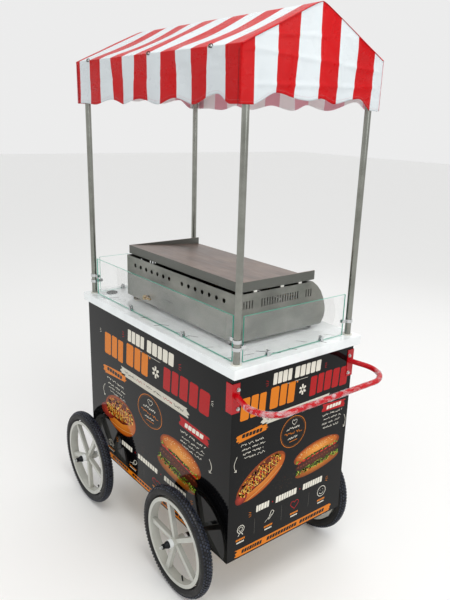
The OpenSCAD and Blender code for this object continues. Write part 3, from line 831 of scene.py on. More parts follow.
def island_copy(node, name, choose):
    """Copies the separate solids of a CAD part that choose(size) accepts."""
    work = bmesh.new()
    work.from_mesh(nodes[node].data)
    bmesh.ops.remove_doubles(work, verts=work.verts, dist=SAME_PLACE)
    left = set(work.verts)
    drop = []
    while left:
        group, queue = set(), [left.pop()]
        while queue:
            vert = queue.pop()
            group.add(vert)
            for edge in vert.link_edges:
                other = edge.other_vert(vert)
                if other in left:
                    left.remove(other)
                    queue.append(other)
        low = Vector([min(v.co[i] for v in group) for i in range(3)])
        high = Vector([max(v.co[i] for v in group) for i in range(3)])
        if not choose(high - low):
            drop.extend(group)
    bmesh.ops.delete(work, geom=drop, context="VERTS")
    piece = raw_piece(name, ())
    work.to_mesh(piece.data)
    work.free()
    return piece


VALVE_LONGEST = 0.1


def is_valve(size):
    """The valve stem is the only small solid of a tyre."""
    return max(size) < VALVE_LONGEST


for corner in CORNERS:
    tyre, tread = make_tyre(corner)
    stem = island_copy("tyre_" + corner, "valve_" + corner, is_valve)
    stem.data.materials.append(GROMMET)
    for made in (tyre, tread, stem):
        finish_piece(made, "wheel_" + corner)
    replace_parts(tyre, "tyre_" + corner)
print("knobs on a tyre:", len(tread.data.polygons) // 6)

# %% [markdown]
# ## Axle threads
# The ends of the axles are threaded for their nuts. A thread's ridges are so close that rings do
# for a helix: a line of points along the axle, with a thin ring on each.

# %% Thread rings
def thread_tree():
    tree, start, end = new_tree(
        "axle_thread",
        {
            "Start": "Vector",
            "Pitch": "Vector",
            "Ridges": "Int",
            "Radius": "Float",
            "Ridge Radius": "Float",
            "Material": "Material",
        },
    )
    line = add_node(
        tree,
        "GeometryNodeMeshLine",
        {
            "Count": start.outputs["Ridges"],
            "Start Location": start.outputs["Start"],
            "Offset": start.outputs["Pitch"],
        },
    )
    ring = add_node(
        tree, "GeometryNodeCurvePrimitiveCircle", {"Radius": start.outputs["Radius"], 0: 24}
    )
    section = add_node(
        tree, "GeometryNodeCurvePrimitiveCircle", {"Radius": start.outputs["Ridge Radius"], 0: 5}
    )
    tube = add_node(
        tree,
        "GeometryNodeCurveToMesh",
        {"Curve": ring.outputs[0], "Profile Curve": section.outputs[0]},
    )
    ridges = add_node(
        tree,
        "GeometryNodeInstanceOnPoints",
        {"Points": line.outputs[0], "Instance": tube.outputs[0], "Rotation": (math.pi / 2, 0, 0)},
    )
    close_tree(tree, start, end, ridges.outputs[0])
    return tree


THREAD = thread_tree()
THREAD_PITCH = 0.0015
THREAD_RIDGES = 8
RIDGE_RADIUS = 0.0006
FIRST_RIDGE = 0.0012
for axle in ("axle_left", "axle_right"):
    low, high = corners(axle)
    middle = (low + high) / 2
    radius = (high.z - low.z) / 2
    for side, tag in ((-1, "front"), (1, "rear")):
        piece = raw_piece(f"thread_{axle}_{tag}", [(0, 0, 0)])
        run_tree(
            piece,
            THREAD,
            Start=(middle.x, side * (high.y - FIRST_RIDGE), middle.z),
            Pitch=(0, -side * THREAD_PITCH, 0),
            Ridges=THREAD_RIDGES,
            Radius=radius,
            **{"Ridge Radius": RIDGE_RADIUS, "Material": ZINC},
        )
        finish_piece(piece, "root")
print("ridges on each threaded end:", THREAD_RIDGES)

# %% [markdown]
# ## Canopy
# The canopy is one cover of PVC-coated polyester, striped red and white, cut to go over the
# ridge and hang as a valance with a scalloped hem. It is a single curved sheet: the roof and
# both long valances are one strip, and each gable joins it along the rake and the corners. The
# cloth sags a little between rafters, swings in and out along the hem, and keeps the fold lines
# of the box it came in. Those shapes come from sums of waves, because a coated cloth this stiff
# settles into broad, even curves.

# %% Sizes of the cover
HALF_LENGTH = (COVER_HIGH.x - COVER_LOW.x) / 2
HALF_DEPTH = (COVER_HIGH.y - COVER_LOW.y) / 2
COVER_X = (COVER_HIGH.x + COVER_LOW.x) / 2
RIDGE_Z = COVER_HIGH.z
EAVE_Z = corners("canopy_tees")[1].z - 0.005
HEM_Z = COVER_LOW.z
CLOTH = 0.0012
STRIPE = 0.1
FIRST_STRIPE = HALF_LENGTH - 0.085
ROOF_SAG = 0.012
# The most that cloth can hang in under the rails, where nothing stands behind it
MOST_INWARD = 0.012
# What the stripes' map counts for the height of a long valance and of a gable
VALANCE_MAP = 0.19
GABLE_MAP = 0.35
print("roof slope, degrees:", round(math.degrees(math.atan2(RIDGE_Z - EAVE_Z, HALF_DEPTH)), 1))


def smooth_step(value, low, high):
    """0 below low, 1 above high, and an even curve between."""
    share = min(1.0, max(0.0, (value - low) / (high - low)))
    return share * share * (3 - 2 * share)


# Lows and highs of the hem: (distance along the side, height above the lowest line)
LONG_HEM = [(-0.53, 0.006), (-0.427, 0.0), (-0.29, 0.021), (-0.172, 0.002), (-0.029, 0.023)]
LONG_HEM += [(0.109, 0.001), (0.214, 0.025), (0.341, 0.002), (0.487, 0.037), (0.553, 0.004)]
GABLE_HEM = [(-0.306, 0.004), (-0.195, 0.046), (-0.035, 0.026), (0.016, 0.036), (0.085, 0.02)]
GABLE_HEM += [(0.235, 0.044), (0.308, 0.003)]


def hem_height(along, knots):
    """The scalloped edge: an even curve from each low to the next high, level at the corners."""
    if along <= knots[0][0]:
        return knots[0][1]
    for (start, low), (stop, high) in zip(knots, knots[1:]):
        if along <= stop:
            return low + (high - low) * smooth_step(along, start, stop)
    return knots[-1][1]


def long_hem(x):
    return HEM_Z + hem_height(x, LONG_HEM)


def gable_hem(y):
    return HEM_Z + hem_height(y, GABLE_HEM)


def wave(along, length, shift=0.0):
    """A sine wave of a given length."""
    return math.sin(2 * math.pi * along / length + shift)


def fold_line(value, centre, width):
    """A crisp crease: 1 on the line, gone within a width."""
    return math.exp(-((value - centre) ** 2) / (2 * width * width))


# %% Cloth shapes
def roof_point(x, y):
    """Roof cloth: pulled over the ridge pole and rails, sagging in each bay between rafters."""
    share = abs(y) / HALF_DEPTH
    # A hyperbola rounds the ridge over its pole and meets the rails where a straight slope would
    rounded = math.sqrt(share * share + 0.0012) - 0.0346 * (1 - share)
    height = RIDGE_Z - (RIDGE_Z - EAVE_Z) * rounded
    bay = math.sin(math.pi * min(1.0, abs(x) / (HALF_LENGTH - 0.02)))
    hollow = math.sin(math.pi * min(1.0, share / 0.9))
    sag = ROOF_SAG * bay * hollow
    crinkle = 0.002 * noise.noise(Vector((x * 9, y * 7, 3.0))) * hollow
    return Vector((COVER_X + x, y, height - sag + crinkle))


def long_valance_point(x, share, side):
    """Long valance: share is 0 at the eave and 1 at the hem."""
    hem = long_hem(x)
    free = smooth_step(HALF_LENGTH - abs(x), 0.0, 0.07)
    swing = wave(x - 0.08, 0.258) * 0.0055 * share ** 1.3
    swing += wave(x, 0.61, 1.1) * 0.004 * share
    swing += 0.0035 * noise.noise(Vector((x * 6, share * 2.2, 1.0 + side)))
    pinch = -0.0035 * fold_line(x, 0.302, 0.02) * (1 - share)
    swing += pinch - 0.0014 * fold_line(share, 0.5, 0.03)
    drift = 0.006 * wave(x, 0.47, side) * share * free
    wall = HALF_DEPTH - 0.0006 - 0.002 * share
    height = EAVE_Z + (hem - EAVE_Z) * share
    # Near the rail the cloth can swing only outwards
    inward = -MOST_INWARD * smooth_step(share, 0.2, 0.5)
    return Vector((COVER_X + x + drift, side * (wall + max(inward, swing * free)), height))


def rake_height(y):
    """Height of the sloping edge where roof and gable meet."""
    return roof_point(HALF_LENGTH, y).z


def gable_point(y, height, side):
    """Gable cloth at a height, with box folds across it and slack along its hem."""
    hem = gable_hem(y)
    top = rake_height(y)
    hang = (top - height) / max(0.001, top - hem)
    free = smooth_step(HALF_DEPTH - abs(y), 0.0, 0.06) * smooth_step(top - height, 0.0, 0.05)
    swing = wave(y + 0.03, 0.232) * 0.006 * hang ** 1.5
    swing += 0.005 * noise.noise(Vector((y * 7, height * 6, 5.0 + side)))
    for crease, rise in ((2.335, 0.06), (2.255, -0.05), (2.17, 0.03)):
        swing += 0.0028 * fold_line(height, crease + rise * y, 0.006)
    for crease in (-0.118, 0.124):
        swing -= 0.002 * fold_line(y, crease, 0.006)
    drift = 0.007 * wave(y, 0.41, 0.6) * hang * free
    # The posts, tees and end rail stand close behind the cloth
    clear = smooth_step(HALF_DEPTH - abs(y), 0.06, 0.1) * smooth_step(EAVE_Z - height, 0.03, 0.06)
    out = HALF_LENGTH - 0.0008 + max(-MOST_INWARD * clear, swing * free)
    return Vector((COVER_X + side * out, y + drift, height))


# %% Weave the cover as one sheet
def even_steps(count):
    """Shares from 0 to 1 in even steps."""
    return [i / count for i in range(count + 1)]


# Where the cloth is sampled: along the cart, across the roof, down a valance and down a gable
ALONG = [-HALF_LENGTH + 2 * HALF_LENGTH * i / 132 for i in range(133)]
ACROSS = [-HALF_DEPTH + 2 * HALF_DEPTH * i / 76 for i in range(77)]
DOWN = even_steps(22)
GABLE_DOWN = even_steps(44)


def make_cover():
    """One grid for the roof and one for each hanging side, with shared edges."""
    points, faces, marks = [], [], []

    def grid(columns, rows, where, mark, turned):
        base = len(points)
        for column in columns:
            for row in rows:
                points.append(where(column, row))
        depth = len(rows)
        for i in range(len(columns) - 1):
            for j in range(depth - 1):
                a = base + i * depth + j
                corner_ids = [a, a + depth, a + depth + 1, a + 1]
                spots = [(i, j), (i + 1, j), (i + 1, j + 1), (i, j + 1)]
                if turned:
                    corner_ids.reverse()
                    spots.reverse()
                faces.append(corner_ids)
                marks.append([mark(columns[p], rows[q]) for p, q in spots])

    grid(ALONG, ACROSS, roof_point, lambda x, y: (x - FIRST_STRIPE, y), False)
    for side in (-1, 1):
        grid(
            ALONG,
            DOWN,
            lambda x, share, side=side: valance_or_eave(x, share, side),
            lambda x, share: (x - FIRST_STRIPE, HALF_DEPTH + VALANCE_MAP * share),
            side > 0,
        )
        grid(
            ACROSS,
            GABLE_DOWN,
            lambda y, share, side=side: gable_or_edge(y, share, side),
            lambda y, share: (y, GABLE_MAP * share),
            side < 0,
        )
    piece = raw_piece("canopy_cloth", points, faces)
    layer = piece.data.uv_layers.new(name="stripes")
    flat_marks = [value for face in marks for value in face]
    for loop, value in zip(layer.data, flat_marks):
        loop.uv = value
    return piece


def valance_or_eave(x, share, side):
    """The valance's top edge is the roof's own edge, and its end is the corner's line."""
    hung = long_valance_point(x, share, side)
    edge = roof_point(x, side * HALF_DEPTH)
    return edge.lerp(hung, smooth_step(share, 0.0, 0.09))


def gable_or_edge(y, share, side):
    """The gable's top edge is the rake, and its sides are the corner's lines."""
    top, hem = rake_height(y), gable_hem(y)
    edge = roof_point(side * HALF_LENGTH, y)
    hung = gable_point(y, top + (hem - top) * share, side)
    return edge.lerp(hung, smooth_step(share, 0.0, 0.05))


# %% [markdown]
# ## Cover cloth finish
# Coated cloth is glossy outside, with a dull and paler back that light glows through. The
# stripes are printed on the cloth, so they follow its own map and bend with it. Solidify gives
# the cloth its thickness and puts the paler finish on the inside.

# %% Stripe finish
WEAVE_REPEAT = 0.0019635
# A Wave texture's bands repeat at this length when its scale is 1
BAND_REPEAT = 2 * math.pi / 10


def striped_cloth(name, red, white, roughness):
    """PVC-coated polyester: printed stripes with a sheen that creases break up. The weave
    repeats every 2 mm, about four times coarser than the real one, which wouldn't show."""
    material, tree, shader = new_material(name, white, roughness, Specular_IOR_Level=0.12)
    chart = add_node(tree, "ShaderNodeUVMap", uv_map="stripes")
    across = add_node(tree, "ShaderNodeSeparateXYZ", {0: chart.outputs[0]}).outputs["X"]
    step = add_node(tree, MATH, {0: across, 1: 0.5 / STRIPE}, operation="MULTIPLY").outputs[0]
    share = add_node(
        tree,
        MATH,
        {0: add_node(tree, MATH, {0: step, 1: 40.0}, operation="ADD").outputs[0]},
        operation="FRACT",
    ).outputs[0]
    print_edge = add_node(tree, MATH, {0: share, 1: 0.5}, operation="LESS_THAN").outputs[0]
    cloud = grain(tree, 222)
    dull_red = tuple(c * 0.8 for c in paint(red)[:3]) + (1,)
    dull_white = tuple(c * 0.93 for c in paint(white)[:3]) + (1,)
    reds = add_node(tree, MIX, {0: cloud, 6: dull_red, 7: paint(red)}, data_type="RGBA").outputs[2]
    whites = add_node(
        tree, MIX, {0: cloud, 6: dull_white, 7: paint(white)}, data_type="RGBA"
    ).outputs[2]
    tree.links.new(
        add_node(tree, MIX, {0: print_edge, 6: whites, 7: reds}, data_type="RGBA").outputs[2],
        shader.inputs["Base Color"],
    )
    creases = grain(tree, (90.9, 90.9, 64.9), 5.0, 0.6)
    tree.links.new(
        add_node(
            tree, RAMP, {0: creases}, [(0.3, roughness * 0.7), (0.7, roughness * 1.4)]
        ).outputs[0],
        shader.inputs["Roughness"],
    )
    weave = add_node(
        tree,
        "ShaderNodeTexWave",
        {"Vector": chart.outputs[0], "Scale": BAND_REPEAT / WEAVE_REPEAT, "Distortion": 0.4},
        wave_type="BANDS",
        bands_direction="DIAGONAL",
    ).outputs["Fac"]
    height = add_node(tree, MIX, {0: 0.12, 6: creases, 7: weave}, data_type="RGBA").outputs[2]
    tree.links.new(
        add_node(tree, BUMP, {"Height": height, "Strength": 0.6, "Distance": 0.007}).outputs[0],
        shader.inputs["Normal"],
    )
    return material


CLOTH_OUT = striped_cloth("pvc_coated_polyester", "CC0008", "DDE4E8", 0.3)
CLOTH_IN = striped_cloth("pvc_cloth_back", "F3B4C0", "FDF6F7", 0.55)


def make_two_sided(piece):
    """Gives the sheet its thickness, with the back's finish inside."""
    piece.data.materials.append(CLOTH_OUT)
    piece.data.materials.append(CLOTH_IN)
    shade_smooth(piece)
    wall = piece.modifiers.new("cloth_thickness", "SOLIDIFY")
    wall.thickness = CLOTH
    wall.offset = -1.0
    wall.use_rim = True
    wall.material_offset = 1
    return bake_modifiers(piece)


cover = make_cover()
tidy_normals(cover)
# The gable's grid shrinks to a point at each corner, and those slivers go
work = bmesh.new()
work.from_mesh(cover.data)
bmesh.ops.remove_doubles(work, verts=work.verts, dist=0.0004)
bmesh.ops.dissolve_degenerate(work, edges=work.edges, dist=1e-5)
FLAT_AREA = sum(face.calc_area() for face in work.faces)
open_edges = sum(1 for edge in work.edges if len(edge.link_faces) == 1)
work.to_mesh(cover.data)
work.free()
make_two_sided(cover)
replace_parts(finish_piece(cover, "root"), "canopy_cover")
print("cover cloth area, m2:", round(FLAT_AREA, 3), "edges at the hem:", open_edges)

# %% [markdown]
# ## Seams, hems and ties
# The hem is turned up and sewn, the corners are joined with a dark row of stitches, and a red
# binding runs down each rake. The stitches are short threads on a path, placed by a tree.
# The eyelets along the eave are pressed brass rings with a tie through each.

# %% Stitches along a path
def stitch_tree():
    tree, start, end = new_tree(
        "stitches",
        {"Pitch": "Float", "Stitch Length": "Float", "Thread Radius": "Float", "Material": "Material"},
    )
    path = add_node(tree, "GeometryNodeMeshToCurve", {"Mesh": start.outputs["Geometry"]})
    spots = add_node(
        tree,
        "GeometryNodeCurveToPoints",
        {"Curve": path.outputs[0], "Length": start.outputs["Pitch"]},
        mode="LENGTH",
    )
    thread = add_node(
        tree,
        "GeometryNodeMeshCylinder",
        {
            "Radius": start.outputs["Thread Radius"],
            "Depth": start.outputs["Stitch Length"],
            "Vertices": 6,
        },
    )
    placed = add_node(
        tree,
        "GeometryNodeInstanceOnPoints",
        {
            "Points": spots.outputs["Points"],
            "Instance": thread.outputs[0],
            "Rotation": spots.outputs["Rotation"],
        },
    )
    close_tree(tree, start, end, placed.outputs[0])
    return tree


STITCHES = stitch_tree()
THREAD_LIGHT = moulded("polyester_thread", "C4969A", 0.6)
THREAD_DARK = moulded("dark_polyester_thread", "3A1216", 0.6)


def sew(name, path, material, pitch=0.008, length=0.005, radius=0.0003):
    """A line of stitches along points."""
    links = [(i, i + 1) for i in range(len(path) - 1)]
    piece = raw_piece(name, path, edges=links)
    run_tree(
        piece,
        STITCHES,
        Pitch=pitch,
        Material=material,
        **{"Stitch Length": length, "Thread Radius": radius},
    )
    return finish_piece(piece, "root")


def outside(point, way, lift):
    """A point moved off the cloth by lift."""
    return point + Vector(way) * lift


TRIM = []
for side, tag in ((-1, "front"), (1, "rear")):
    hem = [outside(valance_or_eave(x, 0.93, side), (0, side, 0), 0.0004) for x in ALONG]
    TRIM.append(sew("hem_stitches_" + tag, hem, THREAD_LIGHT))
for side, tag in ((-1, "left"), (1, "right")):
    hem = [outside(gable_or_edge(y, 0.96, side), (side, 0, 0), 0.0004) for y in ACROSS]
    TRIM.append(sew("hem_stitches_" + tag, hem, THREAD_LIGHT))
    for end, where in ((-1, "front"), (1, "rear")):
        seam = [
            outside(valance_or_eave(side * (HALF_LENGTH - 0.012), share, end), (0, end, 0), 0.0005)
            for share in DOWN[2:]
        ]
        TRIM.append(sew(f"seam_stitches_{tag}_{where}", seam, THREAD_DARK, 0.007, 0.0055, 0.0008))
print("sewn lines:", len(TRIM))


# %% Bindings and eyelets
def strip_piece(name, first, second, material, thickness):
    """A band between two lines of points, with a real thickness."""
    count = len(first)
    faces = [(i, i + 1, count + i + 1, count + i) for i in range(count - 1)]
    piece = raw_piece(name, list(first) + list(second), faces)
    piece.data.materials.append(material)
    shade_smooth(piece)
    wall = piece.modifiers.new("band_thickness", "SOLIDIFY")
    wall.thickness = thickness
    wall.offset = 0.0
    bake_modifiers(piece)
    return finish_piece(piece, "root")


BINDING = moulded("red_pvc_binding", "C40012", 0.3, 3.33, Specular_IOR_Level=0.25)
BINDING_WIDTH = 0.006
for side, tag in ((-1, "left"), (1, "right")):
    ys = [-HALF_DEPTH + 2 * HALF_DEPTH * share for share in even_steps(90)]
    rim = [outside(roof_point(side * HALF_LENGTH, y), (side, 0, 0), 0.0005) for y in ys]
    inner = []
    for y in ys:
        top = rake_height(y)
        band = min(BINDING_WIDTH, max(0.0, (HALF_DEPTH - abs(y)) * 3.0))
        fall = (band / (top - gable_hem(y))) if band else 0.0
        inner.append(outside(gable_or_edge(y, fall, side), (side, 0, 0), 0.0011))
    TRIM.append(strip_piece("rake_binding_" + tag, rim, inner, BINDING, 0.0008))
    mid = [outside(a.lerp(b, 0.72), (side, 0, 0), 0.0008) for a, b in zip(rim, inner)][4:-4]
    TRIM.append(sew("rake_stitches_" + tag, mid, THREAD_DARK, 0.007, 0.005, 0.0004))


def eyelet_points(centre, outward, radius, tube):
    """A ring that lies flat against a wall which faces outward."""
    turns, sides = 20, 8
    outward = Vector(outward).normalized()
    level = outward.cross(Vector((0, 0, 1))).normalized()
    lift = level.cross(outward)
    points = []
    for a in round_angles(turns):
        spoke = level * math.cos(a) + lift * math.sin(a)
        for b in round_angles(sides):
            points.append(
                centre + spoke * (radius + tube * math.cos(b)) + outward * tube * math.sin(b)
            )
    return points, ring_of_rows(turns, sides)


# Places of the eyelets along each eave
EYELETS = [-0.493, 0.033, 0.44]
ring_points, ring_faces, tie_points, tie_faces = [], [], [], []
for side in (-1, 1):
    for x in EYELETS:
        spot = outside(valance_or_eave(x, 0.02, side), (0, side, 0), 0.001)
        for radius, tube, points, faces, shift in (
            (0.0055, 0.0014, ring_points, ring_faces, 0.0),
            (0.0065, 0.0016, tie_points, tie_faces, 0.009),
        ):
            way = (0.0, side, 0.25) if shift == 0.0 else (0.75, side, 0.5)
            p, f = eyelet_points(spot + Vector((shift, 0, 0.002)), way, radius, tube)
            base = len(points)
            points.extend(p)
            faces.extend([tuple(base + k for k in face) for face in f])
EYELET = plain_metal("pressed_brass_eyelet", "8F8878", 0.35)
TIE = moulded("dark_tie_cord", "232325", 0.7, 1.67, 0.0006)
rings = mesh_piece("eave_eyelets", ring_points, ring_faces, EYELET)
ties = mesh_piece("eave_ties", tie_points, tie_faces, TIE)
for made in (rings, ties):
    tidy_normals(made)
TRIM += [rings, ties]
print("pieces of trim:", len(TRIM))

# %% [markdown]
# A sheet's flat size is what a maker would cut it from: here one length of roll as wide as the
# cart's roof is long. It covers both slopes and both valances, and the gables take a bit more.

# %% [markdown]
# ## Printed panels
# The long side and both ends carry a printed film: a heading, a big two-colour title, a ribbon,
# two filled buns, small captions and a row of icons. This print is a generic design. Words are
# stood in for by plain blocks and wavy strokes, so nothing on the cart can be read.
#
# The print is drawn once, as flat shapes with their ink stored on each corner. It is laid on the
# ends as drawn, and stretched sideways for the long side. Ink layers lie a few hundredths of a
# millimetre apart on the real film, and are drawn a little further apart here.

# %% Ink and drawing helpers
CREAM, ORANGE, RED = "E6E2D4", "DB7B14", "AE1216"
BLACK_INK, CRUST, CRUST_DARK = "16110E", "CC6C1C", "8A3A0C"
INK_STEP = 0.00012


def inked(colours, count):
    """A list of linear inks, one for each point."""
    if isinstance(colours, str):
        return [paint(colours)] * count
    return [paint(c) for c in colours]


class Artwork:
    """Flat shapes in sheet coordinates, each with inks and a layer."""

    def __init__(self, seed):
        self.shapes = []
        self.dice = random.Random(seed)

    def patch(self, outline, ink, layer=0, heart=None):
        """A filled shape. heart is the ink at its middle, when that differs."""
        middle = tuple(sum(p[i] for p in outline) / len(outline) for i in (0, 1))
        inks = inked(ink, len(outline))
        centre_ink = paint(heart) if heart else inks[0]
        self.shapes.append((middle, list(outline), centre_ink, inks, layer))

    def block(self, u, v, width, height, ink, layer, lean):
        """An upright block with its corners cut, leaning a little."""
        cut = min(width, height) * 0.12
        w, h = width / 2, height / 2
        shape = [(-w + cut, -h), (w - cut, -h), (w, -h + cut), (w, h - cut)]
        shape += [(w - cut, h), (-w + cut, h), (-w, h - cut), (-w, -h + cut)]
        self.patch([(u + a + lean * b, v + b) for a, b in shape], ink, layer)

    def oval(self, u, v, a, b, ink, layer=0, turn=0.0, heart=None, steps=18, wobble=0.0):
        """A filled oval, turned by an angle in degrees, with an uneven edge if asked."""
        c, s = math.cos(math.radians(turn)), math.sin(math.radians(turn))
        outline = []
        for i in range(steps):
            t = 2 * math.pi * i / steps
            k = 1 + wobble * (self.dice.random() - 0.5)
            x, y = a * k * math.cos(t), b * k * math.sin(t)
            outline.append((u + c * x - s * y, v + s * x + c * y))
        self.patch(outline, ink, layer, heart)

    def stroke(self, line, width, ink, layer=1):
        """A line of even width along points."""
        for (u0, v0), (u1, v1) in zip(line, line[1:]):
            length = math.hypot(u1 - u0, v1 - v0) or 1e-9
            nu, nv = -(v1 - v0) / length * width / 2, (u1 - u0) / length * width / 2
            outline = [(u0 + nu, v0 + nv), (u0 - nu, v0 - nv), (u1 - nu, v1 - nv), (u1 + nu, v1 + nv)]
            self.patch(outline, ink, layer)

    def ring(self, u, v, a, b, width, ink, layer=1, start=0, stop=360):
        """An open or closed ring, from one angle to another in degrees."""
        steps = 40
        angles = [math.radians(start + (stop - start) * i / steps) for i in range(steps + 1)]
        self.stroke([(u + a * math.cos(t), v + b * math.sin(t)) for t in angles], width, ink, layer)

    def brush(self, u0, v0, u1, v1, height, ink, layer=0):
        """A brushed band with ragged ends."""
        along = Vector((u1 - u0, v1 - v0))
        across = Vector((-along.y, along.x)).normalized() * height
        rows = 7
        left, right = [], []
        for i in range(rows + 1):
            lift = across * (i / rows - 0.5)
            ragged = along.normalized() * height * 0.5
            left.append(Vector((u0, v0)) + lift - ragged * self.dice.random())
            right.append(Vector((u1, v1)) + lift + ragged * self.dice.random())
        self.patch([tuple(p) for p in right + left[::-1]], ink, layer)

    def scribble(self, u0, u1, v, size, ink, layer=1):
        """A line of small wavy strokes that stands in for handwriting."""
        u = u0
        while u < u1:
            length = min(u1 - u, size * (2.5 + 3.5 * self.dice.random()))
            count = max(4, int(length / (size * 0.3)))
            points = []
            for i in range(count + 1):
                wave = math.sin(i * 1.9 + 6 * self.dice.random()) * size * 0.42
                points.append((u + length * i / count, v + wave))
            self.stroke(points, size * 0.18, ink, layer)
            u += length + size * 0.9

    def word(self, u0, u1, v, height, count, ink, layer=1, lean=0.06, arch=0.0):
        """A row of blocks of slightly different widths, like a word seen from afar."""
        gap = (u1 - u0) * 0.17 / count
        shares = [0.8 + 0.4 * self.dice.random() for _ in range(count)]
        unit = (u1 - u0 - gap * (count - 1)) / sum(shares)
        u = u0
        for share in shares:
            width = unit * share
            middle = u + width / 2
            rise = arch * (1 - (2 * (middle - u0) / (u1 - u0) - 1) ** 2)
            self.block(middle, v + rise, width, height, ink, layer, lean)
            u += width + gap


# %% Buns
def along_bun(start, end):
    """A frame on a bun: a function from (share along, share across) to the sheet."""
    (u0, v0), (u1, v1) = start, end
    length = math.hypot(u1 - u0, v1 - v0)
    cu, cv = (u1 - u0) / length, (v1 - v0) / length

    def spot(t, s):
        return (u0 + (u1 - u0) * t - cv * s, v0 + (v1 - v0) * t + cu * s)

    return spot, math.degrees(math.atan2(cv, cu)), length


def draw_loaded_bun(art, start, end, half):
    """A long bun with a sausage in it, heaped with grated cheese and fried bits."""
    spot, turn, length = along_bun(start, end)
    middle = spot(0.5, 0)
    art.oval(*middle, length * 0.54, half * 1.02, CRUST_DARK, 1, turn, CRUST, 36)
    art.oval(*spot(0.5, -half * 0.12), length * 0.515, half * 0.84, "B4560F", 2, turn, "E39238", 36)
    art.oval(*spot(0.04, -half * 0.1), half * 0.5, half * 0.4, "6E1D14", 3, turn, "B8402C", 20)
    art.oval(*spot(0.5, half * 0.22), length * 0.47, half * 0.62, "5A1E0B", 3, turn, "8C3C16", 36, 0.1)
    dice = art.dice
    for _ in range(250):
        t, s = 0.06 + 0.88 * dice.random(), half * (-0.3 + 1.1 * dice.random())
        edge = math.sqrt(max(0.05, 1 - (2 * t - 1) ** 2))
        where = spot(t, s * edge + half * 0.05)
        size = 0.0022 + 0.0026 * dice.random()
        ink = dice.choice(["F0B43C", "E89A2A", "F5CC62", "5A2410", "7A3214", "3A160C", "C4661E"])
        art.oval(*where, size * 2.3, size * 0.8, ink, 4, 360 * dice.random(), steps=6)
    for k in range(3):
        line = [spot(0.08 + 0.028 * i, half * (0.1 + 0.34 * math.sin(i * 1.15 + k * 2))) for i in range(31)]
        art.stroke(line, 0.0022, ["F6D46A", "C9281C", "EFA52E"][k], 5)
    shine = []
    for i in range(17):
        shine.append(spot(0.1 + 0.8 * i / 16, -half * (0.62 + 0.12 * math.sin(math.pi * i / 16))))
    art.stroke(shine, 0.003, "D9A05C", 5)


def draw_stuffed_bun(art, start, end, half):
    """A bun cut open and filled: crust, leaves, sliced tomato and grilled meat."""
    spot, turn, length = along_bun(start, end)
    dice = art.dice
    art.oval(*spot(0.5, -half * 0.62), length * 0.5, half * 0.36, "86400E", 1, turn, "CC7A24", 32)
    art.oval(*spot(0.5, half * 0.42), length * 0.52, half * 0.6, CRUST_DARK, 1, turn, "D4761C", 36)
    art.oval(*spot(0.5, half * 0.5), length * 0.47, half * 0.42, "B85A12", 2, turn, "EDA042", 30)
    art.oval(*spot(0.5, -half * 0.12), length * 0.49, half * 0.44, "3A170D", 3, turn, "5E2A18", 30, 0.1)
    for i in range(15):
        where = spot(0.07 + 0.06 * i, -half * 0.16 + half * 0.12 * dice.random())
        art.oval(*where, 0.0075, 0.0065, "3E1B10", 4, 0, "8A4426", 12, 0.2)
    for i in range(9):
        where = spot(0.1 + 0.1 * i, half * 0.16)
        art.oval(*where, 0.012, 0.0042, "A81A14", 4, turn + 10 * dice.random(), "E2452C", 12)
    for _ in range(240):
        t = 0.02 + 0.96 * dice.random()
        low = dice.random() < 0.75
        s = half * (-0.62 + 0.3 * dice.random() if low else 0.2 + 0.12 * dice.random())
        ink = dice.choice(["3F6B1A", "6C9A28", "94B83A", "2C4D12", "B4CC58"])
        size = 0.0028 + 0.003 * dice.random()
        art.oval(*spot(t, s), size, size * 0.6, ink, 5, 360 * dice.random(), steps=6, wobble=0.4)
    for _ in range(46):
        t, s = 0.08 + 0.84 * dice.random(), half * (0.5 + 0.34 * dice.random())
        art.oval(*spot(t, s), 0.0022, 0.0013, "F3DCA4", 5, 360 * dice.random(), steps=6)


# %% Icons, dashes and arrows
def draw_dashes(art, u, v, facing, ink, size=0.016):
    """Three short strokes that fan out."""
    for lean in (-28, 0, 28):
        a = math.radians(lean)
        du, dv = math.cos(a) * facing, math.sin(a)
        line = [(u + du * size * 0.4, v + dv * size * 0.9), (u + du * size * 1.2, v + dv * size * 1.6)]
        art.stroke(line, size * 0.13, ink, 1)


def draw_arrow(art, points, ink):
    """A curved arrow through points, with its head at the last one."""
    art.stroke(points, 0.0022, ink, 1)
    (u0, v0), (u1, v1) = points[-2:]
    heading = math.atan2(v1 - v0, u1 - u0)
    for side in (2.6, -2.6):
        tip = (u1 + 0.012 * math.cos(heading + side), v1 + 0.012 * math.sin(heading + side))
        art.stroke([(u1, v1), tip], 0.0022, ink, 1)


def heart_line(u, v, scale):
    """The outline of a heart."""
    line = []
    for i in range(41):
        t = 2 * math.pi * i / 40
        x = 16 * math.sin(t) ** 3
        y = 13 * math.cos(t) - 5 * math.cos(2 * t) - 2 * math.cos(3 * t) - math.cos(4 * t)
        line.append((u + x * scale, v + y * scale))
    return line


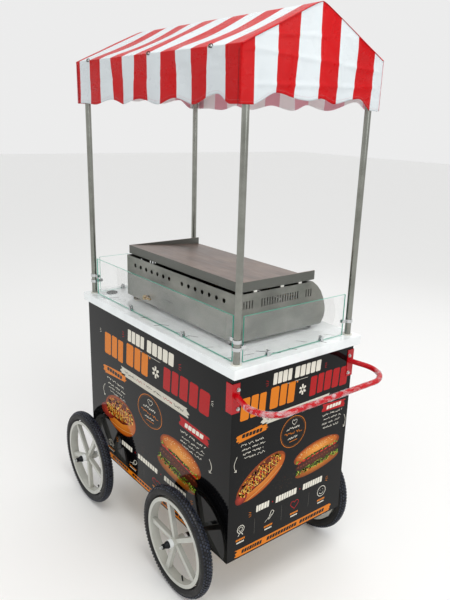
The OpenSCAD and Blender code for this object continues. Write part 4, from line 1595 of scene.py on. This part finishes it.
def draw_icons(art, v):
    """A rosette, a leaf, a heart and a smile, each over two caption bars."""
    places = (-0.272, -0.116, 0.039, 0.212)
    rosette, leaf, heart, smile = places
    size = 0.026
    art.ring(rosette, v + 0.005, size * 0.7, size * 0.7, 0.0028, CREAM)
    art.ring(rosette, v + 0.005, size * 0.38, size * 0.38, 0.0022, CREAM)
    for lean in (-0.5, 0.5):
        art.stroke([(rosette, v - 0.008), (rosette + lean * size, v - 0.026)], 0.003, CREAM)
    for bulge in (0.022, -0.004):
        edge = []
        for i in range(13):
            t = i / 12
            edge.append((leaf + 0.03 * t, v - 0.014 + bulge * math.sin(math.pi * t) + 0.03 * t))
        art.stroke(edge, 0.0026, CREAM)
    art.stroke([(leaf - size * 0.8, v - 0.02), (leaf + size * 0.6, v + 0.006)], 0.002, CREAM)
    art.stroke(heart_line(heart, v, 0.0015), 0.003, RED)
    art.ring(smile, v, size, size, 0.0028, CREAM)
    art.ring(smile, v, size * 0.55, size * 0.55, 0.0026, CREAM, 1, 200, 340)
    for eye in (-0.35, 0.35):
        art.oval(smile + eye * size, v + size * 0.3, 0.0018, 0.0018, CREAM, 1, steps=8)
    for u in places:
        art.word(u - 0.024, u + 0.024, v - 0.045, 0.009, 6, ORANGE)
        art.word(u - 0.02, u + 0.02, v - 0.059, 0.007, 6, CREAM)
    for u in (-0.196, -0.04, 0.128):
        art.stroke([(u, v - 0.05), (u, v + 0.025)], 0.0011, "6B6862")


# %% The whole sheet
def draw_sheet(loaded, stuffed):
    """The whole print. loaded and stuffed are (start, end, half width) of the two buns."""
    art = Artwork(11)
    # Heading and title
    art.word(-0.132, -0.03, 1.062, 0.05, 4, CREAM)
    art.word(-0.012, 0.139, 1.062, 0.05, 5, CREAM)
    draw_dashes(art, -0.152, 1.052, -1, RED)
    draw_dashes(art, 0.16, 1.052, 1, RED)
    art.stroke([(-0.055, 1.024), (0.065, 1.024)], 0.0014, CREAM)
    art.oval(0.004, 1.018, 0.0045, 0.0045, ORANGE, 1, steps=10)
    art.word(-0.297, -0.168, 0.968, 0.096, 3, ORANGE, arch=0.004)
    art.word(-0.144, -0.008, 0.977, 0.094, 3, ORANGE, arch=0.003)
    for k in range(3):
        turn = math.radians(60 * k + 30)
        du, dv = 0.02 * math.cos(turn), 0.024 * math.sin(turn)
        art.stroke([(0.038 - du, 0.974 - dv), (0.038 + du, 0.974 + dv)], 0.009, CREAM)
    art.word(0.083, 0.318, 0.972, 0.09, 5, RED, arch=0.006)
    draw_dashes(art, -0.318, 1.012, -1, CREAM, 0.012)
    draw_dashes(art, 0.322, 0.99, 1, CREAM, 0.012)
    # Ribbon
    art.brush(-0.172, 0.889, 0.205, 0.893, 0.036, "CFCBBD")
    art.scribble(-0.16, -0.09, 0.89, 0.011, BLACK_INK)
    art.scribble(-0.08, -0.03, 0.891, 0.011, RED)
    art.scribble(-0.02, 0.07, 0.891, 0.011, BLACK_INK)
    art.scribble(0.08, 0.13, 0.892, 0.011, RED)
    art.scribble(0.14, 0.195, 0.892, 0.011, BLACK_INK)
    # Captions: a tag, four written lines and an arrow on each side
    art.brush(-0.298, 0.846, -0.16, 0.862, 0.034, ORANGE)
    art.word(-0.285, -0.18, 0.854, 0.016, 6, BLACK_INK, 1, 0.2)
    art.brush(0.185, 0.846, 0.305, 0.838, 0.036, RED)
    art.word(0.2, 0.292, 0.842, 0.017, 5, CREAM, 1, 0.2)
    for i in range(4):
        art.scribble(-0.288 + 0.006 * i, -0.17 + 0.01 * (i % 2), 0.812 - 0.021 * i, 0.0105, CREAM)
        art.scribble(0.178 + 0.008 * (i % 2), 0.305 - 0.006 * i, 0.808 - 0.021 * i, 0.0105, CREAM)
    bend = [i / 10 for i in range(11)]
    draw_arrow(art, [(-0.306 - 0.014 * math.sin(3 * t), 0.77 - 0.07 * t) for t in bend], CREAM)
    draw_arrow(art, [(0.322 + 0.012 * math.sin(3 * t), 0.775 - 0.065 * t) for t in bend], CREAM)
    # Round emblem
    art.ring(0.0, 0.787, 0.073, 0.073, 0.0022, ORANGE)
    art.ring(0.0, 0.787, 0.067, 0.067, 0.001, "7E4A14")
    art.stroke(heart_line(0.004, 0.832, 0.0009), 0.0018, CREAM)
    art.scribble(-0.04, 0.042, 0.805, 0.0125, CREAM)
    art.scribble(-0.052, 0.052, 0.782, 0.0125, ORANGE)
    art.scribble(-0.03, 0.034, 0.759, 0.0125, CREAM)
    art.stroke([(-0.02, 0.742), (0.026, 0.745)], 0.0024, ORANGE)
    # Food
    draw_loaded_bun(art, *loaded)
    draw_stuffed_bun(art, *stuffed)
    for _ in range(40):
        u, v = -0.1 + 0.2 * art.dice.random(), 0.52 + 0.06 * art.dice.random()
        art.oval(u, v, 0.0013, 0.001, art.dice.choice(["7E6A4A", "4E4638", "8A4A1E"]), 1, steps=5)
    # Three words with dots, icons, and the band along the bottom
    draw_dashes(art, -0.212, 0.468, -1, ORANGE)
    art.word(-0.19, -0.118, 0.48, 0.03, 5, CREAM)
    art.word(-0.078, 0.045, 0.48, 0.03, 8, CREAM)
    art.word(0.086, 0.208, 0.48, 0.03, 8, CREAM)
    for u in (-0.098, 0.066):
        art.oval(u, 0.48, 0.0032, 0.0032, RED, 1, steps=8)
    draw_dashes(art, 0.228, 0.468, 1, ORANGE)
    draw_icons(art, 0.412)
    art.brush(-0.285, 0.3, 0.272, 0.3, 0.036, ORANGE)
    art.word(-0.262, -0.15, 0.3, 0.018, 8, BLACK_INK, 1, 0.2)
    art.word(-0.12, 0.06, 0.3, 0.018, 11, BLACK_INK, 1, 0.2)
    art.word(0.08, 0.24, 0.3, 0.018, 9, BLACK_INK, 1, 0.2)
    return art


END_ART = draw_sheet(((-0.29, 0.568), (-0.052, 0.694), 0.066), ((0.026, 0.6), (0.3, 0.632), 0.078))
LONG_ART = draw_sheet(((-0.3, 0.63), (-0.1, 0.66), 0.1), ((0.06, 0.655), (0.27, 0.612), 0.112))
print("inked shapes:", len(END_ART.shapes))

# %% Lay the sheet on the panels
# The long side is this much wider than an end
STRETCH = 1.47
# Heights on an end, and where the same things sit on the long side
END_LEVELS = [0.275, 0.3, 0.412, 0.48, 0.55, 0.787, 0.9, 1.12]
LONG_LEVELS = [0.275, 0.3, 0.368, 0.438, 0.487, 0.718, 0.856, 1.12]


def long_level(v):
    """The long side's height for a height on an end."""
    last = len(END_LEVELS) - 2
    i = next((i for i in range(last) if v <= END_LEVELS[i + 1]), last)
    share = (v - END_LEVELS[i]) / (END_LEVELS[i + 1] - END_LEVELS[i])
    return LONG_LEVELS[i] + share * (LONG_LEVELS[i + 1] - LONG_LEVELS[i])


def printed_film():
    """Printed vinyl under a clear laminate: the ink's colour, a little grain, a mirror gloss."""
    material, tree, shader = new_material("printed_vinyl_film", "808080", 0.06, Specular_IOR_Level=0.15)
    ink = add_node(tree, "ShaderNodeAttribute", attribute_name="ink")
    speck = grain(tree, 1.43)
    shade = add_node(
        tree, RAMP, {0: speck}, [(0.3, (0.86, 0.86, 0.86, 1)), (0.7, (1, 1, 1, 1))]
    ).outputs[0]
    mixed = add_node(
        tree,
        MIX,
        {0: 1.0, 6: ink.outputs["Color"], 7: shade},
        data_type="RGBA",
        blend_type="MULTIPLY",
    ).outputs[2]
    tree.links.new(mixed, shader.inputs["Base Color"])
    return material


PRINT = printed_film()


def lay_print(name, art, to_panel, outward):
    """Turns the drawn shapes into one mesh on a panel, facing outward."""
    points, faces, inks = [], [], []
    for middle, outline, centre_ink, rim_inks, layer in art.shapes:
        lift = INK_STEP * (layer + 1)
        base = len(points)
        points.append(to_panel(*middle, lift))
        points.extend(to_panel(u, v, lift) for u, v in outline)
        count = len(outline)
        for i in range(count):
            j = (i + 1) % count
            faces.append((base, base + 1 + i, base + 1 + j))
            inks.append((centre_ink, rim_inks[i], rim_inks[j]))
    piece = raw_piece(name, points, faces)
    layer = piece.data.color_attributes.new("ink", "FLOAT_COLOR", "CORNER")
    flat = [ink for face in inks for ink in face]
    for spot, ink in zip(layer.data, flat):
        spot.color = ink
    wrong = [face.index for face in piece.data.polygons if face.normal.dot(Vector(outward)) < 0]
    work = bmesh.new()
    work.from_mesh(piece.data)
    work.faces.ensure_lookup_table()
    bmesh.ops.reverse_faces(work, faces=[work.faces[i] for i in wrong])
    work.to_mesh(piece.data)
    work.free()
    piece.data.materials.append(PRINT)
    return finish_piece(piece, "root")


def on_front(u, v, lift):
    return (MIDDLE.x + u * STRETCH, FRONT_LOW.y - lift, long_level(v))


def on_right(u, v, lift):
    return (END_HIGH.x + lift, u, v)


# The far end's print is turned to read from its own side
def on_left(u, v, lift):
    return (corners("left_panel")[0].x - lift, -u, v)


for name, art, place_on, outward in (
    ("front_print", LONG_ART, on_front, (0, -1, 0)),
    ("right_print", END_ART, on_right, (1, 0, 0)),
    ("left_print", END_ART, on_left, (-1, 0, 0)),
):
    made = lay_print(name, art, place_on, outward)
print("print faces on a panel:", len(made.data.polygons))

# %% [markdown]
# ## Protective film on the handle
# The handle left the factory wrapped in thin clear film, pulled into small wrinkles that catch
# white light. The film is a tube a little wider than the bar, swept along the bar and its two
# corners. Ridged noise wrinkles it, and the same kind of noise paints it white in streaks: partly
# the film's own whitened creases, partly painted highlight where the wrinkles catch the light.

# %% Handle film
FILM_GAP = 0.0009
BAR_LOW, BAR_HIGH = corners("handle_bar")
BAR_RADIUS = 0.0115
BAR_BEND = 0.105
BAR_X = BAR_HIGH.x - BAR_RADIUS
ARC_X = BAR_X - BAR_BEND
ARC_Y = 0.2416
LEG_Z = 1.04
BAR_DROP = (LEG_Z - (BAR_LOW.z + BAR_RADIUS)) / (BAR_X - END_HIGH.x)


def bar_point(x, y):
    """A point on the bar's sloping plane."""
    return Vector((x, y, LEG_Z - (x - END_HIGH.x) * BAR_DROP))


def film_path():
    """Centre line of the wrapped part: near corner, straight bar, far corner."""
    path = []
    for i in range(46):
        a = math.radians(-98 + 98 * i / 45)
        path.append(bar_point(ARC_X + BAR_BEND * math.cos(a), -ARC_Y + BAR_BEND * math.sin(a)))
    for i in range(1, 120):
        path.append(bar_point(BAR_X, -ARC_Y + 2 * ARC_Y * i / 120))
    for i in range(34):
        a = math.radians(66 * i / 33)
        path.append(bar_point(ARC_X + BAR_BEND * math.cos(a), ARC_Y + BAR_BEND * math.sin(a)))
    return path


def wrinkle(s, turn):
    """Ridged noise: sharp little pleats that run round and along the bar."""
    first = abs(noise.noise(Vector((s * 70, math.cos(turn) * 1.3, math.sin(turn) * 1.3))))
    second = abs(noise.noise(Vector((s * 160, math.cos(turn) * 2.6 + 7, math.sin(turn) * 2.6))))
    return (1 - first * 2.2) * 0.0012 + (1 - second * 2) * 0.0006


def make_film():
    """A wrinkled tube round the bar."""
    path = film_path()
    sides, points, faces = 28, [], []
    run = 0.0
    for i, centre in enumerate(path):
        before, after = path[max(0, i - 1)], path[min(len(path) - 1, i + 1)]
        way = (after - before).normalized()
        run += (centre - before).length
        side = way.cross(Vector((0, 0, 1))).normalized()
        lift = side.cross(way)
        for j in range(sides):
            turn = 2 * math.pi * j / sides
            radius = BAR_RADIUS + FILM_GAP + wrinkle(run, turn)
            points.append(centre + (side * math.cos(turn) + lift * math.sin(turn)) * radius)
    for i in range(len(path) - 1):
        for j in range(sides):
            k = (j + 1) % sides
            faces.append(
                (i * sides + j, i * sides + k, (i + 1) * sides + k, (i + 1) * sides + j)
            )
    return points, faces


def stretch_film():
    """Clear polyethylene film: nearly invisible where it lies flat, painted white along its creases. That
    white is partly the film's own whitened folds and partly painted highlight.
    """
    material, tree, shader = new_material("clear_polyethylene_film", "F4F6FA", 0.12)
    pleats = grain(tree, (16.7, 38.5, 16.7), 6.0, 0.65)
    patches = grain(tree, 76.9, 2.0)
    # The white is partly the film's whitened creases and partly painted highlight on the wrinkles.
    white = add_node(
        tree,
        RAMP,
        {0: add_node(tree, MIX, {0: 0.38, 6: pleats, 7: patches}, data_type="RGBA").outputs[2]},
        [(0.47, 0.0), (0.66, 0.55)],
    ).outputs[0]
    tree.links.new(white, shader.inputs["Alpha"])
    tree.links.new(
        add_node(tree, BUMP, {"Height": pleats, "Strength": 0.8, "Distance": 0.003}).outputs[0],
        shader.inputs["Normal"],
    )
    return material


film_points, film_faces = make_film()
mesh_piece("handle_film", film_points, film_faces, stretch_film())
print("film length, m:", round(sum((b - a).length for a, b in zip(film_path(), film_path()[1:])), 3))

# %% [markdown]
# ## Painted crease shade on the worktop's film
# The worktop still has its thin protective film, with short creases. The shade in those creases
# and the glass clips' shadows on the film are painted as thin dark strokes. A tree scatters the
# strokes over a strip of the worktop, each turned and stretched by seeded chance.

# %% Painted shade of the film's creases
def crease_tree():
    tree, start, end = new_tree(
        "crease_shade_strokes",
        {
            "Count": "Int",
            "Lowest": "Vector",
            "Highest": "Vector",
            "Stroke": "Vector",
            "Seed": "Int",
            "Material": "Material",
        },
    )
    given = start.outputs
    where = add_node(
        tree,
        "FunctionNodeRandomValue",
        {"Seed": given["Seed"]},
        data_type="FLOAT_VECTOR",
    )
    tree.links.new(given["Lowest"], where.inputs[0])
    tree.links.new(given["Highest"], where.inputs[1])
    spots = add_node(
        tree, "GeometryNodePoints", {"Count": given["Count"], "Position": where.outputs[0]}
    )
    turn = add_node(
        tree,
        "FunctionNodeRandomValue",
        {"Seed": add_node(tree, MATH, {0: given["Seed"], 1: 1.0}, operation="ADD").outputs[0]},
        data_type="FLOAT_VECTOR",
    )
    turn.inputs[0].default_value = (0, 0, 0.5)
    turn.inputs[1].default_value = (0, 0, 1.5)
    size = add_node(
        tree,
        "FunctionNodeRandomValue",
        {"Seed": add_node(tree, MATH, {0: given["Seed"], 1: 2.0}, operation="ADD").outputs[0]},
        data_type="FLOAT_VECTOR",
    )
    size.inputs[0].default_value = (0.5, 0.6, 1)
    size.inputs[1].default_value = (1.0, 1.3, 1)
    stroke = add_node(tree, "GeometryNodeMeshCube", {"Size": given["Stroke"]})
    placed = add_node(
        tree,
        "GeometryNodeInstanceOnPoints",
        {
            "Points": spots.outputs[0],
            "Instance": stroke.outputs[0],
            "Rotation": turn.outputs[0],
            "Scale": size.outputs[0],
        },
    )
    close_tree(tree, start, end, placed.outputs[0])
    return tree


CREASES = crease_tree()
# Near-black strokes: painted shade of the film's creases and painted shadows of the glass clips.
PAINTED_CREASE_SHADE = moulded("creased_film_shadow", "101216", 0.35)
CREASE_SIZE = (0.05, 0.0042, 0.0003)
# Each strip of the worktop: its lowest and highest corner, how many creases, and its seed
STRIPS = {
    "crease_shade_front": ((-0.56, -0.325, 0.0), (0.52, -0.265, 0.0), 12, 4),
    "crease_shade_right": ((0.5, -0.25, 0.0), (0.585, 0.3, 0.0), 8, 9),
}
for name, (low, high, count, seed) in STRIPS.items():
    piece = raw_piece(name, [(0, 0, 0)])
    level = TOP_HIGH.z + 0.0002
    run_tree(
        piece,
        CREASES,
        Count=count,
        Lowest=(low[0], low[1], level),
        Highest=(high[0], high[1], level),
        Stroke=CREASE_SIZE,
        Seed=seed,
        Material=PAINTED_CREASE_SHADE,
    )
    finish_piece(piece, "root")
print("creases:", sum(values[2] for values in STRIPS.values()))
